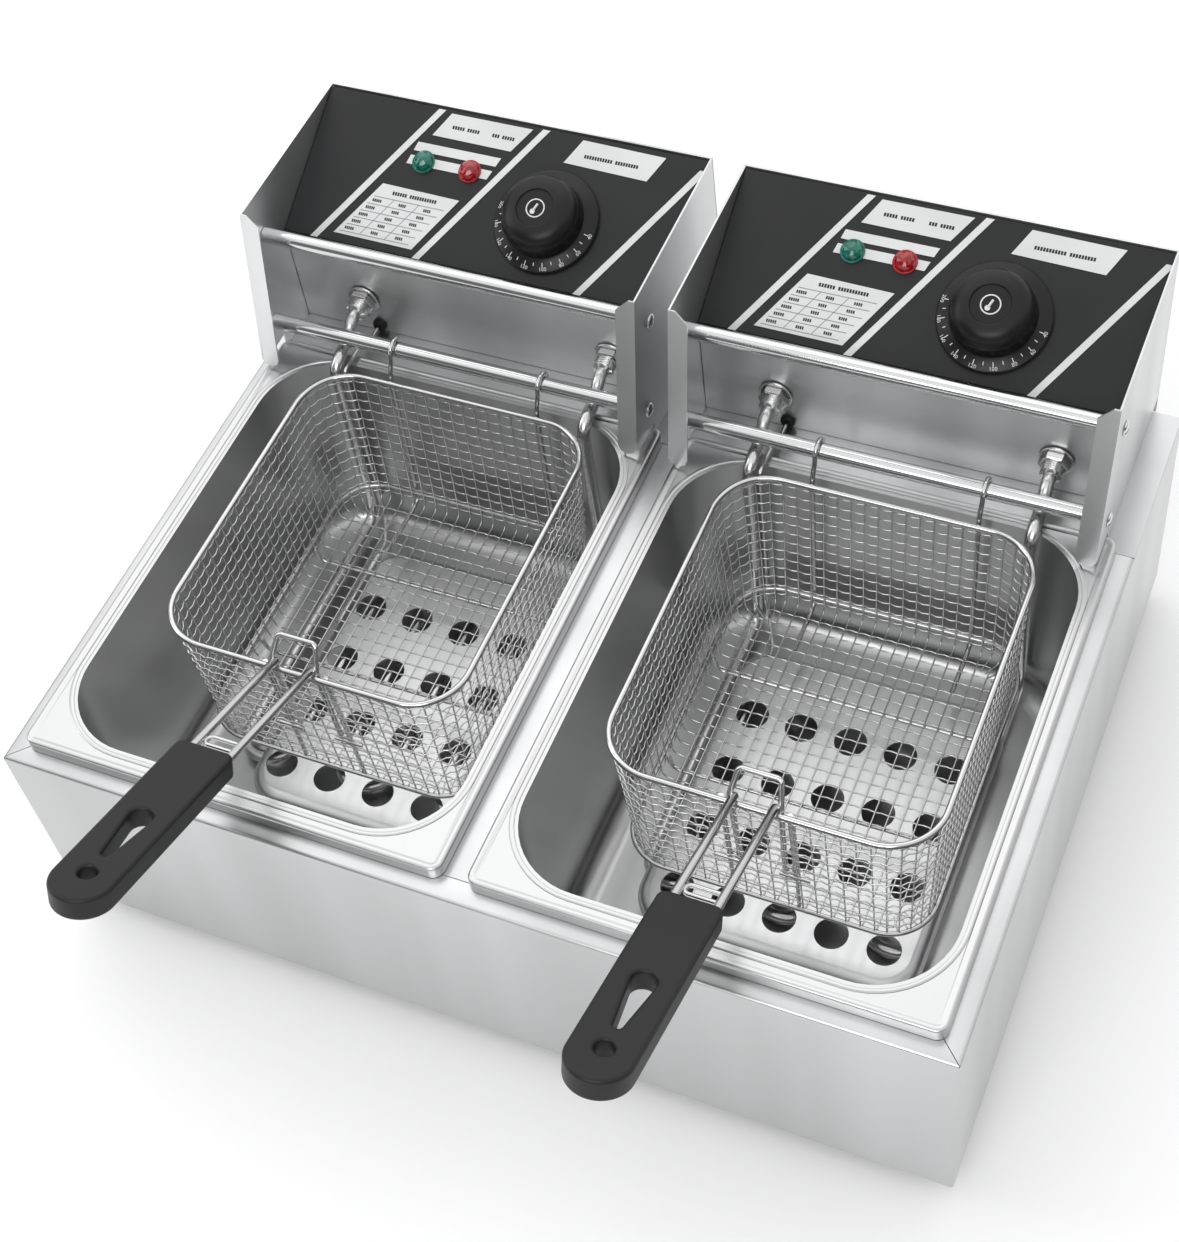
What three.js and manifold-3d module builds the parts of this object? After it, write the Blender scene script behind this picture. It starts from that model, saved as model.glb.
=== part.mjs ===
// A twin-tank countertop deep fryer in sheet stainless steel. Millimetres, +Z up, front towards -Y.
// The cabinet holds two lift-out oil tanks. Behind each tank stands a lift-off control head whose
// heating element reaches down into the oil, and a wire basket hangs on the head's lower rod.
import * as THREE from "three";
import { mergeVertices } from "three/addons/utils/BufferGeometryUtils.js";
import Module from "manifold-3d";

const wasm = await Module();
wasm.setup();

// ---------------------------------------------------------------- driving dimensions
const GAP = 0.3; // clearance between touching pieces
const SHEET = 1; // stainless sheet

const cabinet = { width: 560, depth: 442, height: 152, topFlange: 14, baseLip: 12 };
const foot = { height: 15, radius: 14, inset: 42 };
const unitPitch = 277; // left tank centre to right tank centre

const tank = {
  halfWidth: 131,
  front: -211,
  rear: 114.6,
  rise: 9, // flange top above the cabinet top
  depth: 150,
  sideLip: 8.3,
  frontLip: 10.5,
  rearLip: 7.1,
  cornerRadius: 48,
  flangeRadius: 7,
  draft: 3,
  floorRadius: 12,
};

const head = {
  offsetX: -4.4, // head centre from the tank centre
  halfWidth: 128.4,
  wallY: 146, // front wall
  rearY: 233.5,
  topZ: 270.5,
  panelFrontZ: 226,
  armBottom: { y: 88, z: 162.5 },
  armTopY: 110,
  armFlange: 12,
  notchY: 116,
  sheet: 1.2,
  lipZ: 138, // the back hangs down behind the cabinet
};
const rod = { radius: 5, upper: { y: 126, z: 240 }, lower: { y: 111, z: 179.5 } };

const panel = { thickness: 1.6 };
const knob = { x: 40, along: 40, skirtRadius: 33, capRadius: 25.5, height: 25, shaftRadius: 3 };
const lamp = { greenX: -50, redX: -18.5, along: 61, radius: 6.5, barrelRadius: 5 };

const element = {
  radius: 4,
  axisZ: 20,
  legX: 85,
  legY: 97,
  portZ: 179,
  overLipZ: 167.6, // between the tank's rear lip and the lower rod
  frontY: -105,
  rearY: 40,
  runs: 6,
};
const nutSize = { radius: 9.5, thickness: 7, collarRadius: 6.4, length: 13 };
const probe = {
  x: -78,
  bulbX: -68,
  wireRadius: 1.2,
  bulbRadius: 3,
  bulbLength: 62,
  portZ: 158,
};

const strainer = {
  centreX: 4,
  front: -138,
  rear: 66,
  topZ: 34,
  skirtZ: 24.3,
  cornerRadius: 24,
  edgeRadius: 7,
  holeRadius: 10,
  rows: 4,
  rowPitch: 42.4,
  lastRowY: 15.5,
};
const strainerOf = {
  left: { halfWidth: 68, columns: 4, columnPitch: 33.5 },
  right: { halfWidth: 86, columns: 5, columnPitch: 31.5 },
};

const basket = {
  halfWidth: 95,
  front: -122.5,
  rear: 95,
  rimZ: 165,
  floorZ: 54,
  cornerRadius: 32,
  taper: 6,
  wall: 0.8,
  rimRadius: 1.8,
  ringRadius: 1.5,
};
const hook = { centreX: 4, spacing: 100, radius: 1.5 };
const handle = {
  x: -1.5,
  slope: THREE.MathUtils.degToRad(20),
  rodRadius: 2.5,
  rodSpacing: 23,
  startY: -118.5,
  startZ: 168.4,
  gripStart: 91,
  braceAt: [75, 82],
};
const grip = { length: 133, width: 35, thickness: 14, socketDepth: 30, chamfer: 3 };
const bracket = { radius: 1.8, depth: 52, legX: 14, outerX: 21, topX: 11.5, rise: 16, lean: 11 };

// ---------------------------------------------------------------- finishes
const finish = (color, roughness, metalness) => () =>
  new THREE.MeshStandardMaterial({ color, roughness, metalness });
const brushedSteel = finish(0xc9cbcd, 0.32, 1);
const polishedSteel = finish(0xdcdddf, 0.12, 1);
const blackPlastic = finish(0x1c1c1d, 0.5, 0);
const panelBlack = finish(0x2a2b2d, 0.42, 0.1);
const blackRubber = finish(0x161616, 0.8, 0);
const greyPlastic = finish(0x8c8f92, 0.6, 0);
const greenLens = finish(0x0b7a58, 0.15, 0);
const redLens = finish(0xa80f18, 0.15, 0);

const part = (name, geometry, material) => {
  const mesh = new THREE.Mesh(geometry, material());
  mesh.name = name;
  return mesh;
};

// ---------------------------------------------------------------- joins and cuts
function toSolid(geometry) {
  const bare = geometry.clone();
  bare.deleteAttribute("normal");
  bare.deleteAttribute("uv");
  const merged = mergeVertices(bare, 1e-4);
  return new wasm.Manifold(
    new wasm.Mesh({
      numProp: 3,
      vertProperties: merged.attributes.position.array,
      triVerts: new Uint32Array(merged.index.array),
    }),
  );
}

function toGeometry(solid) {
  const mesh = solid.getMesh();
  const geometry = new THREE.BufferGeometry();
  geometry.setAttribute("position", new THREE.BufferAttribute(mesh.vertProperties, 3));
  geometry.setIndex(new THREE.BufferAttribute(mesh.triVerts, 1));
  geometry.computeVertexNormals();
  return geometry;
}

const join = (...pieces) => toGeometry(pieces.map(toSolid).reduce((a, b) => a.add(b)));
const cut = (piece, ...tools) =>
  toGeometry(tools.map(toSolid).reduce((a, b) => a.subtract(b), toSolid(piece)));

// ---------------------------------------------------------------- shape helpers
const block = (x0, x1, y0, y1, z0, z1) =>
  new THREE.BoxGeometry(x1 - x0, y1 - y0, z1 - z0).translate(
    (x0 + x1) / 2,
    (y0 + y1) / 2,
    (z0 + z1) / 2,
  );

const pinAlongX = (radius, x0, x1, y, z, sides) =>
  new THREE.CylinderGeometry(radius, radius, x1 - x0, sides)
    .rotateZ(Math.PI / 2)
    .translate((x0 + x1) / 2, y, z);
const pinAlongY = (radius, y0, y1, x, z, sides) =>
  new THREE.CylinderGeometry(radius, radius, y1 - y0, sides).translate(x, (y0 + y1) / 2, z);
const pinAlongZ = (radius, z0, z1, x, y, sides) =>
  new THREE.CylinderGeometry(radius, radius, z1 - z0, sides)
    .rotateX(Math.PI / 2)
    .translate(x, y, (z0 + z1) / 2);

// Points round a rounded rectangle, anticlockwise, with the same count whatever its size.
function roundedOutline({ halfX, halfY, radius, x = 0, y = 0 }, steps = 5) {
  const points = [];
  for (let corner = 0; corner < 4; corner += 1) {
    const signX = corner === 0 || corner === 3 ? 1 : -1;
    const signY = corner < 2 ? 1 : -1;
    for (let step = 0; step <= steps; step += 1) {
      const angle = ((corner + step / steps) * Math.PI) / 2;
      points.push(
        new THREE.Vector2(
          x + signX * (halfX - radius) + radius * Math.cos(angle),
          y + signY * (halfY - radius) + radius * Math.sin(angle),
        ),
      );
    }
  }
  return points;
}

const circleOutline = (radius, sides, x = 0, y = 0) =>
  Array.from({ length: sides }, (_, i) => {
    const angle = (2 * Math.PI * (i + 0.5)) / sides;
    return new THREE.Vector2(x + radius * Math.cos(angle), y + radius * Math.sin(angle));
  });

const upright = (outline, z0, z1, holes = []) => {
  const shape = new THREE.Shape(outline);
  holes.forEach((hole) => shape.holes.push(new THREE.Path(hole)));
  return new THREE.ExtrudeGeometry(shape, { depth: z1 - z0, bevelEnabled: false }).translate(
    0,
    0,
    z0,
  );
};

// A profile drawn in Y and Z, given thickness along X.
const sideways = (profile, x0, x1) =>
  new THREE.ExtrudeGeometry(new THREE.Shape(profile.map(([y, z]) => new THREE.Vector2(y, z))), {
    depth: x1 - x0,
    bevelEnabled: false,
  })
    .applyMatrix4(
      new THREE.Matrix4().makeBasis(
        new THREE.Vector3(0, 1, 0),
        new THREE.Vector3(0, 0, 1),
        new THREE.Vector3(1, 0, 0),
      ),
    )
    .translate(x0, 0, 0);

function indexed(positions, index) {
  const geometry = new THREE.BufferGeometry();
  geometry.setAttribute("position", new THREE.Float32BufferAttribute(positions, 3));
  geometry.setIndex(index);
  geometry.computeVertexNormals();
  return geometry;
}

// A closed skin over rings of equal count: { outline, z } from the first cap to the last.
function loft(rings) {
  const count = rings[0].outline.length;
  const positions = [];
  const index = [];
  rings.forEach(({ outline, z }) => outline.forEach((p) => positions.push(p.x, p.y, z)));
  for (let ring = 0; ring < rings.length - 1; ring += 1) {
    for (let i = 0; i < count; i += 1) {
      const a = ring * count + i;
      const b = ring * count + ((i + 1) % count);
      index.push(a, b, b + count, a, b + count, a + count);
    }
  }
  const cap = (ring, facesDown) => {
    const { outline, z } = rings[ring];
    const centre = outline
      .reduce((sum, p) => sum.add(p), new THREE.Vector2())
      .divideScalar(count);
    const hub = positions.length / 3;
    positions.push(centre.x, centre.y, z);
    for (let i = 0; i < count; i += 1) {
      const a = ring * count + i;
      const b = ring * count + ((i + 1) % count);
      index.push(hub, facesDown ? b : a, facesDown ? a : b);
    }
  };
  cap(0, true);
  cap(rings.length - 1, false);
  return indexed(positions, index);
}

// A wire's centre line: straight runs joined by round bends, with stations only where it bends.
// A corner is [x, y, z] or [x, y, z, bendRadius].
class WireLine extends THREE.Curve {
  constructor(corners, bendRadius, bendSteps = 3) {
    super();
    this.stations = [];
    const points = corners.map(([x, y, z]) => new THREE.Vector3(x, y, z));
    const towards = (i) => points[i + 1].clone().sub(points[i]).normalize();
    this.stations.push({ point: points[0], tangent: towards(0) });
    for (let i = 1; i < points.length - 1; i += 1) {
      const radius = corners[i][3] ?? bendRadius;
      this.bend(points[i], towards(i - 1), towards(i), radius, bendSteps);
    }
    const last = points.length - 1;
    this.stations.push({ point: points[last], tangent: towards(last - 1) });
  }

  bend(corner, before, after, radius, steps) {
    const turn = before.angleTo(after);
    const axis = before.clone().cross(after).normalize();
    const start = corner.clone().addScaledVector(before, -radius * Math.tan(turn / 2));
    const centre = start.clone().addScaledVector(axis.clone().cross(before), radius);
    for (let step = 0; step <= steps; step += 1) {
      const angle = (turn * step) / steps;
      this.stations.push({
        point: start.clone().sub(centre).applyAxisAngle(axis, angle).add(centre),
        tangent: before.clone().applyAxisAngle(axis, angle),
      });
    }
  }

  station(u) {
    return this.stations[Math.round(u * (this.stations.length - 1))];
  }

  getPointAt(u, target = new THREE.Vector3()) {
    return target.copy(this.station(u).point);
  }

  getTangentAt(u, target = new THREE.Vector3()) {
    return target.copy(this.station(u).tangent);
  }

  tube(radius, sides) {
    return new THREE.ExtrudeGeometry(new THREE.Shape(circleOutline(radius, sides)), {
      steps: this.stations.length - 1,
      extrudePath: this,
    });
  }
}

const mirroredX = (corners) => [
  ...corners.map(([x, ...rest]) => [-x, ...rest]),
  ...corners.toReversed(),
];

// ---------------------------------------------------------------- cabinet
const halfWidth = cabinet.width / 2;
const halfDepth = cabinet.depth / 2;
const deckFront = tank.rear - 4; // the tank's rear lip rests on the deck's front edge

function cabinetBody() {
  const inner = halfWidth - cabinet.topFlange;
  const lip = halfWidth - cabinet.baseLip;
  const rear = halfDepth - SHEET - GAP;
  const shell = join(
    block(-halfWidth, halfWidth, -halfDepth, -halfDepth + SHEET, 0, cabinet.height),
    block(-halfWidth, halfWidth, -halfDepth, -halfDepth + cabinet.topFlange,
      cabinet.height - SHEET, cabinet.height),
    block(-halfWidth, halfWidth, -halfDepth, -halfDepth + cabinet.baseLip, 0, SHEET),
    ...[-1, 1].flatMap((side) => {
      const span = (a, b) => (side < 0 ? [-b, -a] : [a, b]);
      return [
        block(...span(halfWidth - SHEET, halfWidth), -halfDepth, rear, 0, cabinet.height),
        block(...span(inner, halfWidth), -halfDepth, rear, cabinet.height - SHEET, cabinet.height),
        block(...span(lip, halfWidth), -halfDepth, rear, 0, SHEET),
      ];
    }),
  );
  const deckSeat = block(-halfWidth - 1, halfWidth + 1, deckFront - GAP, halfDepth,
    cabinet.height - SHEET - GAP, cabinet.height + 1);
  return cut(shell, deckSeat);
}

const cabinetBack = () =>
  block(-halfWidth, halfWidth, halfDepth - SHEET, halfDepth, 0, cabinet.height - SHEET - GAP);

const cabinetBase = () =>
  block(-halfWidth + SHEET + GAP, halfWidth - SHEET - GAP, -halfDepth + SHEET + GAP,
    halfDepth - SHEET - GAP, SHEET + GAP, 2 * SHEET + GAP);

const cabinetDeck = () =>
  block(-halfWidth, halfWidth, deckFront, halfDepth, cabinet.height - SHEET, cabinet.height);

// The inverted channel between the tanks: both tanks' inner lips rest on it.
function centreBar() {
  const half = 12;
  const depth = 16;
  const front = -halfDepth + cabinet.topFlange + GAP;
  const rear = deckFront - GAP;
  const top = cabinet.height;
  return cut(
    block(-half, half, front, rear, top - depth, top),
    block(-half + SHEET, half - SHEET, front - 1, rear + 1, top - depth - 1, top - SHEET),
  );
}

const rubberFoot = () =>
  new THREE.CylinderGeometry(foot.radius, foot.radius - 2, foot.height + SHEET, 16)
    .rotateX(Math.PI / 2)
    .translate(0, 0, (SHEET - foot.height) / 2);

// ---------------------------------------------------------------- oil tank
const tankTop = cabinet.height + tank.rise;
const tankFloor = tankTop - tank.depth;
const tankMouth = {
  halfX: tank.halfWidth - tank.sideLip,
  halfY: (tank.rear - tank.rearLip - tank.front - tank.frontLip) / 2,
  y: (tank.rear - tank.rearLip + tank.front + tank.frontLip) / 2,
  radius: tank.cornerRadius,
};

// The tank's mouth drawn in by an inset all round.
const mouthRing = (inset, z) => ({
  z,
  outline: roundedOutline({
    ...tankMouth,
    halfX: tankMouth.halfX - inset,
    halfY: tankMouth.halfY - inset,
    radius: tank.cornerRadius - inset,
  }),
});

const flangeRing = (inset, z) => ({
  z,
  outline: roundedOutline({
    halfX: tank.halfWidth - inset,
    halfY: (tank.rear - tank.front) / 2 - inset,
    y: (tank.rear + tank.front) / 2,
    radius: tank.flangeRadius - inset,
  }),
});

// Rings round the bend from the tank's wall into its floor: skin 0 outside, SHEET inside.
function wallRings(skin) {
  const rings = [];
  const bendSteps = 2;
  for (let step = 0; step <= bendSteps; step += 1) {
    const angle = ((step / bendSteps) * Math.PI) / 2;
    const bend = tank.floorRadius - skin;
    const inset = tank.draft + skin - SHEET + bend * (1 - Math.cos(angle));
    rings.push(mouthRing(inset, tankFloor + tank.floorRadius - bend * Math.sin(angle)));
  }
  return rings;
}

function oilTank() {
  return loft([
    ...wallRings(0).toReversed(),
    mouthRing(-SHEET, tankTop - SHEET),
    flangeRing(SHEET, tankTop - SHEET),
    flangeRing(SHEET, cabinet.height + GAP),
    flangeRing(0, cabinet.height + GAP),
    flangeRing(0, tankTop),
    mouthRing(0, tankTop),
    ...wallRings(SHEET),
  ]);
}

// ---------------------------------------------------------------- strainer plate
function strainerPlate({ halfWidth: half, columns, columnPitch }) {
  const halfY = (strainer.rear - strainer.front) / 2;
  const middleY = (strainer.rear + strainer.front) / 2;
  const ring = (inset, z) => ({
    z,
    outline: roundedOutline(
      {
        halfX: half - inset,
        halfY: halfY - inset,
        x: strainer.centreX,
        y: middleY,
        radius: strainer.cornerRadius - inset,
      },
      3,
    ),
  });
  const bend = (radius, lower) =>
    [0, 0.5, 1].map((share) => {
      const angle = (share * Math.PI) / 2;
      const inset = strainer.edgeRadius - radius * Math.cos(angle);
      return ring(inset, lower + radius * Math.sin(angle));
    });
  const bendZ = strainer.topZ - strainer.edgeRadius;
  const plate = loft([
    ...bend(strainer.edgeRadius - SHEET, bendZ).toReversed(),
    ring(SHEET, strainer.skirtZ),
    ring(0, strainer.skirtZ),
    ...bend(strainer.edgeRadius, bendZ),
  ]);
  const holes = [];
  for (let row = 0; row < strainer.rows; row += 1) {
    for (let column = 0; column < columns; column += 1) {
      const x = strainer.centreX + (column - (columns - 1) / 2) * columnPitch;
      const y = strainer.lastRowY - row * strainer.rowPitch;
      holes.push(pinAlongZ(strainer.holeRadius, strainer.skirtZ, strainer.topZ + 1, x, y, 10));
    }
  }
  return cut(plate, ...holes);
}

// ---------------------------------------------------------------- basket
const basketRing = (inset, z) => ({
  z,
  outline: roundedOutline({
    halfX: basket.halfWidth - inset,
    halfY: (basket.rear - basket.front) / 2 - inset,
    y: (basket.rear + basket.front) / 2,
    radius: basket.cornerRadius - inset,
  }),
});

// How far the basket's wall has drawn in at a height.
const basketTaper = (z) => (basket.taper * (basket.rimZ - z)) / (basket.rimZ - basket.floorZ);

function basketMesh() {
  const top = basket.rimZ - basket.rimRadius - GAP;
  const low = basket.floorZ;
  const bend = 9;
  return loft([
    basketRing(basket.taper + bend, low),
    basketRing(basket.taper + bend / 4, low + bend / 4),
    basketRing(basketTaper(low + bend), low + bend),
    basketRing(basketTaper(top), top),
    basketRing(basketTaper(top) + basket.wall, top),
    basketRing(basketTaper(low + bend) + basket.wall, low + bend),
    basketRing(basket.taper + bend / 4 + basket.wall, low + bend / 4 + basket.wall / 2),
    basketRing(basket.taper + bend, low + basket.wall),
  ]);
}

// A closed ring of round wire: a six-sided section carried round the basket's outline.
function wireRing(radius, inset, z) {
  const sides = 6;
  const section = circleOutline(radius, sides);
  const rings = section.map((p) => basketRing(inset - p.x, z + p.y));
  const count = rings[0].outline.length;
  const positions = rings.flatMap((ring) => ring.outline.flatMap((p) => [p.x, p.y, ring.z]));
  const index = [];
  for (let ring = 0; ring < sides; ring += 1) {
    const a = ring * count;
    const b = ((ring + 1) % sides) * count;
    for (let i = 0; i < count; i += 1) {
      const next = (i + 1) % count;
      index.push(a + i, a + next, b + next, a + i, b + next, b + i);
    }
  }
  return indexed(positions, index);
}

const basketRim = () => wireRing(basket.rimRadius, 0, basket.rimZ);
const basketBaseRing = () =>
  wireRing(basket.ringRadius, basket.taper - basket.ringRadius - 0.7, basket.floorZ + 8);

// Two hooks over the lower rod, joined by the wire that runs down the rear wall and under the floor.
function basketHooks() {
  const wireY = basket.rear + basket.rimRadius + GAP + hook.radius + 0.6;
  const top = rod.lower.z + rod.radius + GAP + hook.radius + 0.4;
  const half = hook.spacing / 2;
  const low = basket.floorZ - hook.radius - GAP - 0.4;
  const behind = rod.lower.y + rod.radius + GAP + hook.radius + 0.2;
  const arm = [
    [half, behind, rod.lower.z + 1],
    [half, behind, top],
    [half, wireY, top],
    [half, wireY, basket.rimZ],
    [half, wireY - 3.8, low],
    [half, basket.rear - 40, low],
  ];
  return new WireLine(mirroredX(arm), 3.2, 3).tube(hook.radius, 6).translate(hook.centreX, 0, 0);
}

// The wire loop that stands behind the front rim and holds the handle's rods.
function basketBracket() {
  const wallY = basket.front + basketTaper(basket.rimZ - bracket.depth) + basket.wall;
  const y = wallY + GAP + bracket.radius + 0.4;
  const low = basket.rimZ - bracket.depth;
  const arm = [
    [bracket.legX, y, basket.rimZ - basket.rimRadius - GAP],
    [bracket.legX, y, low],
    [bracket.outerX, y, low],
    [bracket.outerX, y, basket.rimZ],
    [bracket.topX, y + bracket.lean, basket.rimZ + bracket.rise],
  ];
  return new WireLine(mirroredX(arm), 3.2, 3).tube(bracket.radius, 6).translate(handle.x, 0, 0);
}

// The handle's own frame: +Y runs out along it from the rim, +Z is its upper face.
function handleFrame() {
  const frame = new THREE.Group();
  frame.position.set(handle.x, handle.startY, handle.startZ);
  frame.rotation.set(-handle.slope, 0, Math.PI);
  return frame;
}

function handleWire() {
  const side = handle.rodSpacing / 2;
  const end = handle.gripStart + grip.socketDepth - 2;
  return join(
    ...[-side, side].map((x) => pinAlongY(handle.rodRadius, 0, end, x, 0, 8)),
    ...handle.braceAt.map((y) => pinAlongX(1.4, -side, side, y, -1.2, 6)),
  );
}

function handleGrip() {
  const half = grip.width / 2;
  const nearRadius = 5;
  const outline = new THREE.Shape();
  const inset = grip.chamfer;
  const w = half - inset;
  const start = inset;
  const end = grip.length - half;
  outline.moveTo(-w, start + nearRadius);
  outline.lineTo(-w + nearRadius, start);
  outline.lineTo(w - nearRadius, start);
  outline.lineTo(w, start + nearRadius);
  outline.lineTo(w, end);
  outline.absarc(0, end, w, 0, Math.PI, false);
  const windowPoints = [
    ...circleOutline(6.5, 8, 0, 64).filter((p) => p.y < 65),
    new THREE.Vector2(2, 96),
    new THREE.Vector2(-2, 96),
  ];
  const blank = new THREE.ExtrudeGeometry(outline, {
    depth: grip.thickness - 2 * inset,
    bevelThickness: inset,
    bevelSize: inset,
    bevelSegments: 1,
    curveSegments: 8,
  }).translate(0, 0, -grip.thickness / 2 + inset);
  const through = [-grip.thickness, grip.thickness];
  const sockets = [-1, 1].map((side) =>
    pinAlongY(handle.rodRadius + 0.4, -1, grip.socketDepth, (side * handle.rodSpacing) / 2, 0, 8),
  );
  return cut(
    blank,
    upright(windowPoints, ...through),
    pinAlongZ(4.8, ...through, 0, 111, 10),
    ...sockets,
  ).translate(0, handle.gripStart, 0);
}

// ---------------------------------------------------------------- control head
const deckTop = cabinet.height + GAP;
const cheekInner = head.halfWidth - head.sheet - GAP;

// Front wall and floor in one folded sheet, with the ports for the element and the probe.
function headShell() {
  const wallTop = head.panelFrontZ - 3;
  const sheet = join(
    block(-cheekInner, cheekInner, head.wallY, head.wallY + head.sheet, deckTop, wallTop),
    block(-cheekInner, cheekInner, head.wallY, head.rearY - GAP, deckTop, deckTop + head.sheet),
  );
  const port = (x, z, radius) => pinAlongY(radius, head.wallY - 1, head.wallY + 3, x, z, 10);
  return cut(
    sheet,
    port(-element.legX - head.offsetX, element.portZ, element.radius + 0.6),
    port(element.legX - head.offsetX, element.portZ, element.radius + 0.6),
    port(probe.x - head.offsetX, probe.portZ, probe.wireRadius + 2),
  );
}

// The left side plate. Its front runs forward over the tank as an arm with an inward flange.
function headCheek() {
  const t = head.sheet;
  const { y: armY, z: armZ } = head.armBottom;
  const back = t / 2; // the plate stops half way through its flange
  const plate = sideways(
    [
      [armY + back, armZ + 4],
      [armY + back + 6, armZ],
      [head.notchY, armZ],
      [head.notchY, deckTop],
      [head.rearY, deckTop],
      [head.rearY, head.topZ],
      [head.armTopY + back, head.topZ],
    ],
    -head.halfWidth,
    -head.halfWidth + t,
  );
  const lean = new THREE.Vector3(0, head.armTopY - armY, head.topZ - armZ);
  const length = lean.length() - GAP;
  const width = head.armFlange;
  const tongue = new THREE.Shape(
    [
      [0, 5],
      [1.5, 1.5],
      [5, 0],
      [width - 5, 0],
      [width - 1.5, 1.5],
      [width, 5],
      [width, length - 8],
      [width - 8, length],
      [0, length],
    ].map(([u, v]) => new THREE.Vector2(u, v)),
  );
  const across = new THREE.Vector3(1, 0, 0);
  lean.normalize();
  const flange = new THREE.ExtrudeGeometry(tongue, { depth: t, bevelEnabled: false })
    .applyMatrix4(new THREE.Matrix4().makeBasis(across, lean, across.clone().cross(lean)))
    .translate(-head.halfWidth, armY + t, armZ);
  return join(plate, flange);
}

const headBack = () =>
  block(-head.halfWidth, head.halfWidth, head.rearY + GAP, head.rearY + GAP + head.sheet,
    head.lipZ, head.topZ);

const headRod = ({ y, z }) => pinAlongX(rod.radius, -cheekInner, cheekInner, y, z, 12);

// The panel's own frame: +Y runs up the slope from the front wall, +Z stands out of its face.
const panelSlope = Math.atan2(head.topZ - head.panelFrontZ, head.rearY - head.wallY);
const panelLength = Math.hypot(head.topZ - head.panelFrontZ, head.rearY - head.wallY) - 1.5;

function panelFrame() {
  const frame = new THREE.Group();
  frame.position.set(0, head.wallY, head.panelFrontZ);
  frame.rotation.x = panelSlope;
  return frame;
}

function controlPanel() {
  const hole = (x, along, radius) =>
    pinAlongZ(radius, -panel.thickness - 1, 1, x, along, 10);
  return cut(
    block(-cheekInner, cheekInner, 0, panelLength, -panel.thickness, 0),
    hole(knob.x, knob.along, knob.shaftRadius + 0.6),
    hole(lamp.greenX, lamp.along, lamp.barrelRadius + 0.5),
    hole(lamp.redX, lamp.along, lamp.barrelRadius + 0.5),
  );
}

const turned = (profile, sides) =>
  new THREE.LatheGeometry(
    profile.map(([radius, z]) => new THREE.Vector2(radius, z)),
    sides,
  ).rotateX(Math.PI / 2);

// Numbered skirt, domed cap and the shaft that goes down into the thermostat, in one moulding.
const dialKnob = () =>
  turned(
    [
      [0, -16],
      [knob.shaftRadius, -16],
      [knob.shaftRadius, 0.5],
      [knob.skirtRadius, 0.5],
      [knob.skirtRadius, 3],
      [knob.capRadius + 1, 6],
      [knob.capRadius, 8],
      [knob.capRadius - 1.5, knob.height - 5],
      [knob.capRadius - 6, knob.height - 1],
      [knob.capRadius - 13, knob.height],
      [0, knob.height],
    ],
    20,
  );

// Thermostat body under the panel, with a blind bore for the knob's shaft.
function thermostat() {
  const top = -panel.thickness - GAP;
  return cut(
    block(-23, 23, -18, 18, top - 24, top),
    pinAlongZ(knob.shaftRadius + 0.5, -19, 0, 0, 0, 8),
  );
}

const pilotLamp = () =>
  turned(
    [
      [0, -12],
      [lamp.barrelRadius, -12],
      [lamp.barrelRadius, GAP],
      [lamp.radius, GAP],
      [lamp.radius, 2.5],
      [lamp.radius - 2, 5.8],
      [0, 7],
    ],
    8,
  );

// One steel tube: in through a port, over the tank's lip, down a leg, to and fro, and back out.
function heatingElement() {
  const { radius, axisZ, legX, legY, portZ, overLipZ, frontY, rearY, runs } = element;
  const pitch = (2 * legX) / (runs - 1);
  const tight = 2 * radius;
  const leg = (x) => [
    [x, head.wallY + 12, portZ],
    [x, head.wallY - 18, portZ, tight],
    [x, tank.rear + 1.4, overLipZ, tight],
    [x, legY, overLipZ, tight],
    [x, legY, axisZ],
  ];
  const corners = leg(-legX);
  for (let run = 0; run < runs; run += 1) {
    const x = -legX + run * pitch;
    const [from, to] = run % 2 === 0 ? [rearY, frontY] : [frontY, rearY];
    if (run > 0) corners.push([x, from, axisZ]);
    if (run < runs - 1) corners.push([x, to, axisZ]);
  }
  corners.push(...leg(legX).toReversed());
  return new WireLine(corners, 0.44 * pitch, 3).tube(radius, 6);
}

// Hexagon and collar that clamp the element to the front wall.
function elementNut() {
  const front = head.wallY - GAP;
  const bore = pinAlongY(element.radius + 0.5, front - 30, front + 1, 0, 0, 10);
  return cut(
    join(
      pinAlongY(nutSize.radius, front - nutSize.thickness, front, 0, 0, 6),
      pinAlongY(nutSize.collarRadius, front - nutSize.length, front - 1, 0, 0, 10),
    ),
    bore,
  );
}

// The thermostat's liquid bulb and its capillary.
function sensorProbe() {
  const { x, bulbX, wireRadius, bulbRadius, bulbLength, portZ } = probe;
  const { axisZ, legY } = element;
  const overLip = tankTop + 3.5;
  const bulbEnd = legY - 30;
  const capillary = new WireLine(
    [
      [x, head.wallY + 6, portZ],
      [x, head.wallY - 12, portZ],
      [x, tank.rear + 2, overLip],
      [x, legY, overLip],
      [x, legY, axisZ],
      [bulbX, bulbEnd + 8, axisZ],
      [bulbX, bulbEnd - 2, axisZ],
    ],
    4,
    2,
  ).tube(wireRadius, 6);
  const bulb = pinAlongY(bulbRadius, bulbEnd - bulbLength, bulbEnd, bulbX, axisZ, 8);
  return join(capillary, bulb);
}

// Bushing through the head's back for the mains lead.
const cordGland = () =>
  turned(
    [
      [0, 0],
      [9, 0],
      [9, 3],
      [6.5, 4.5],
      [5.5, 14],
      [3.2, 14],
      [3.2, 4],
      [0, 4],
    ],
    12,
  );

// ---------------------------------------------------------------- assembly
const at = (object, x, y, z) => {
  object.position.set(x, y, z);
  return object;
};

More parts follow.
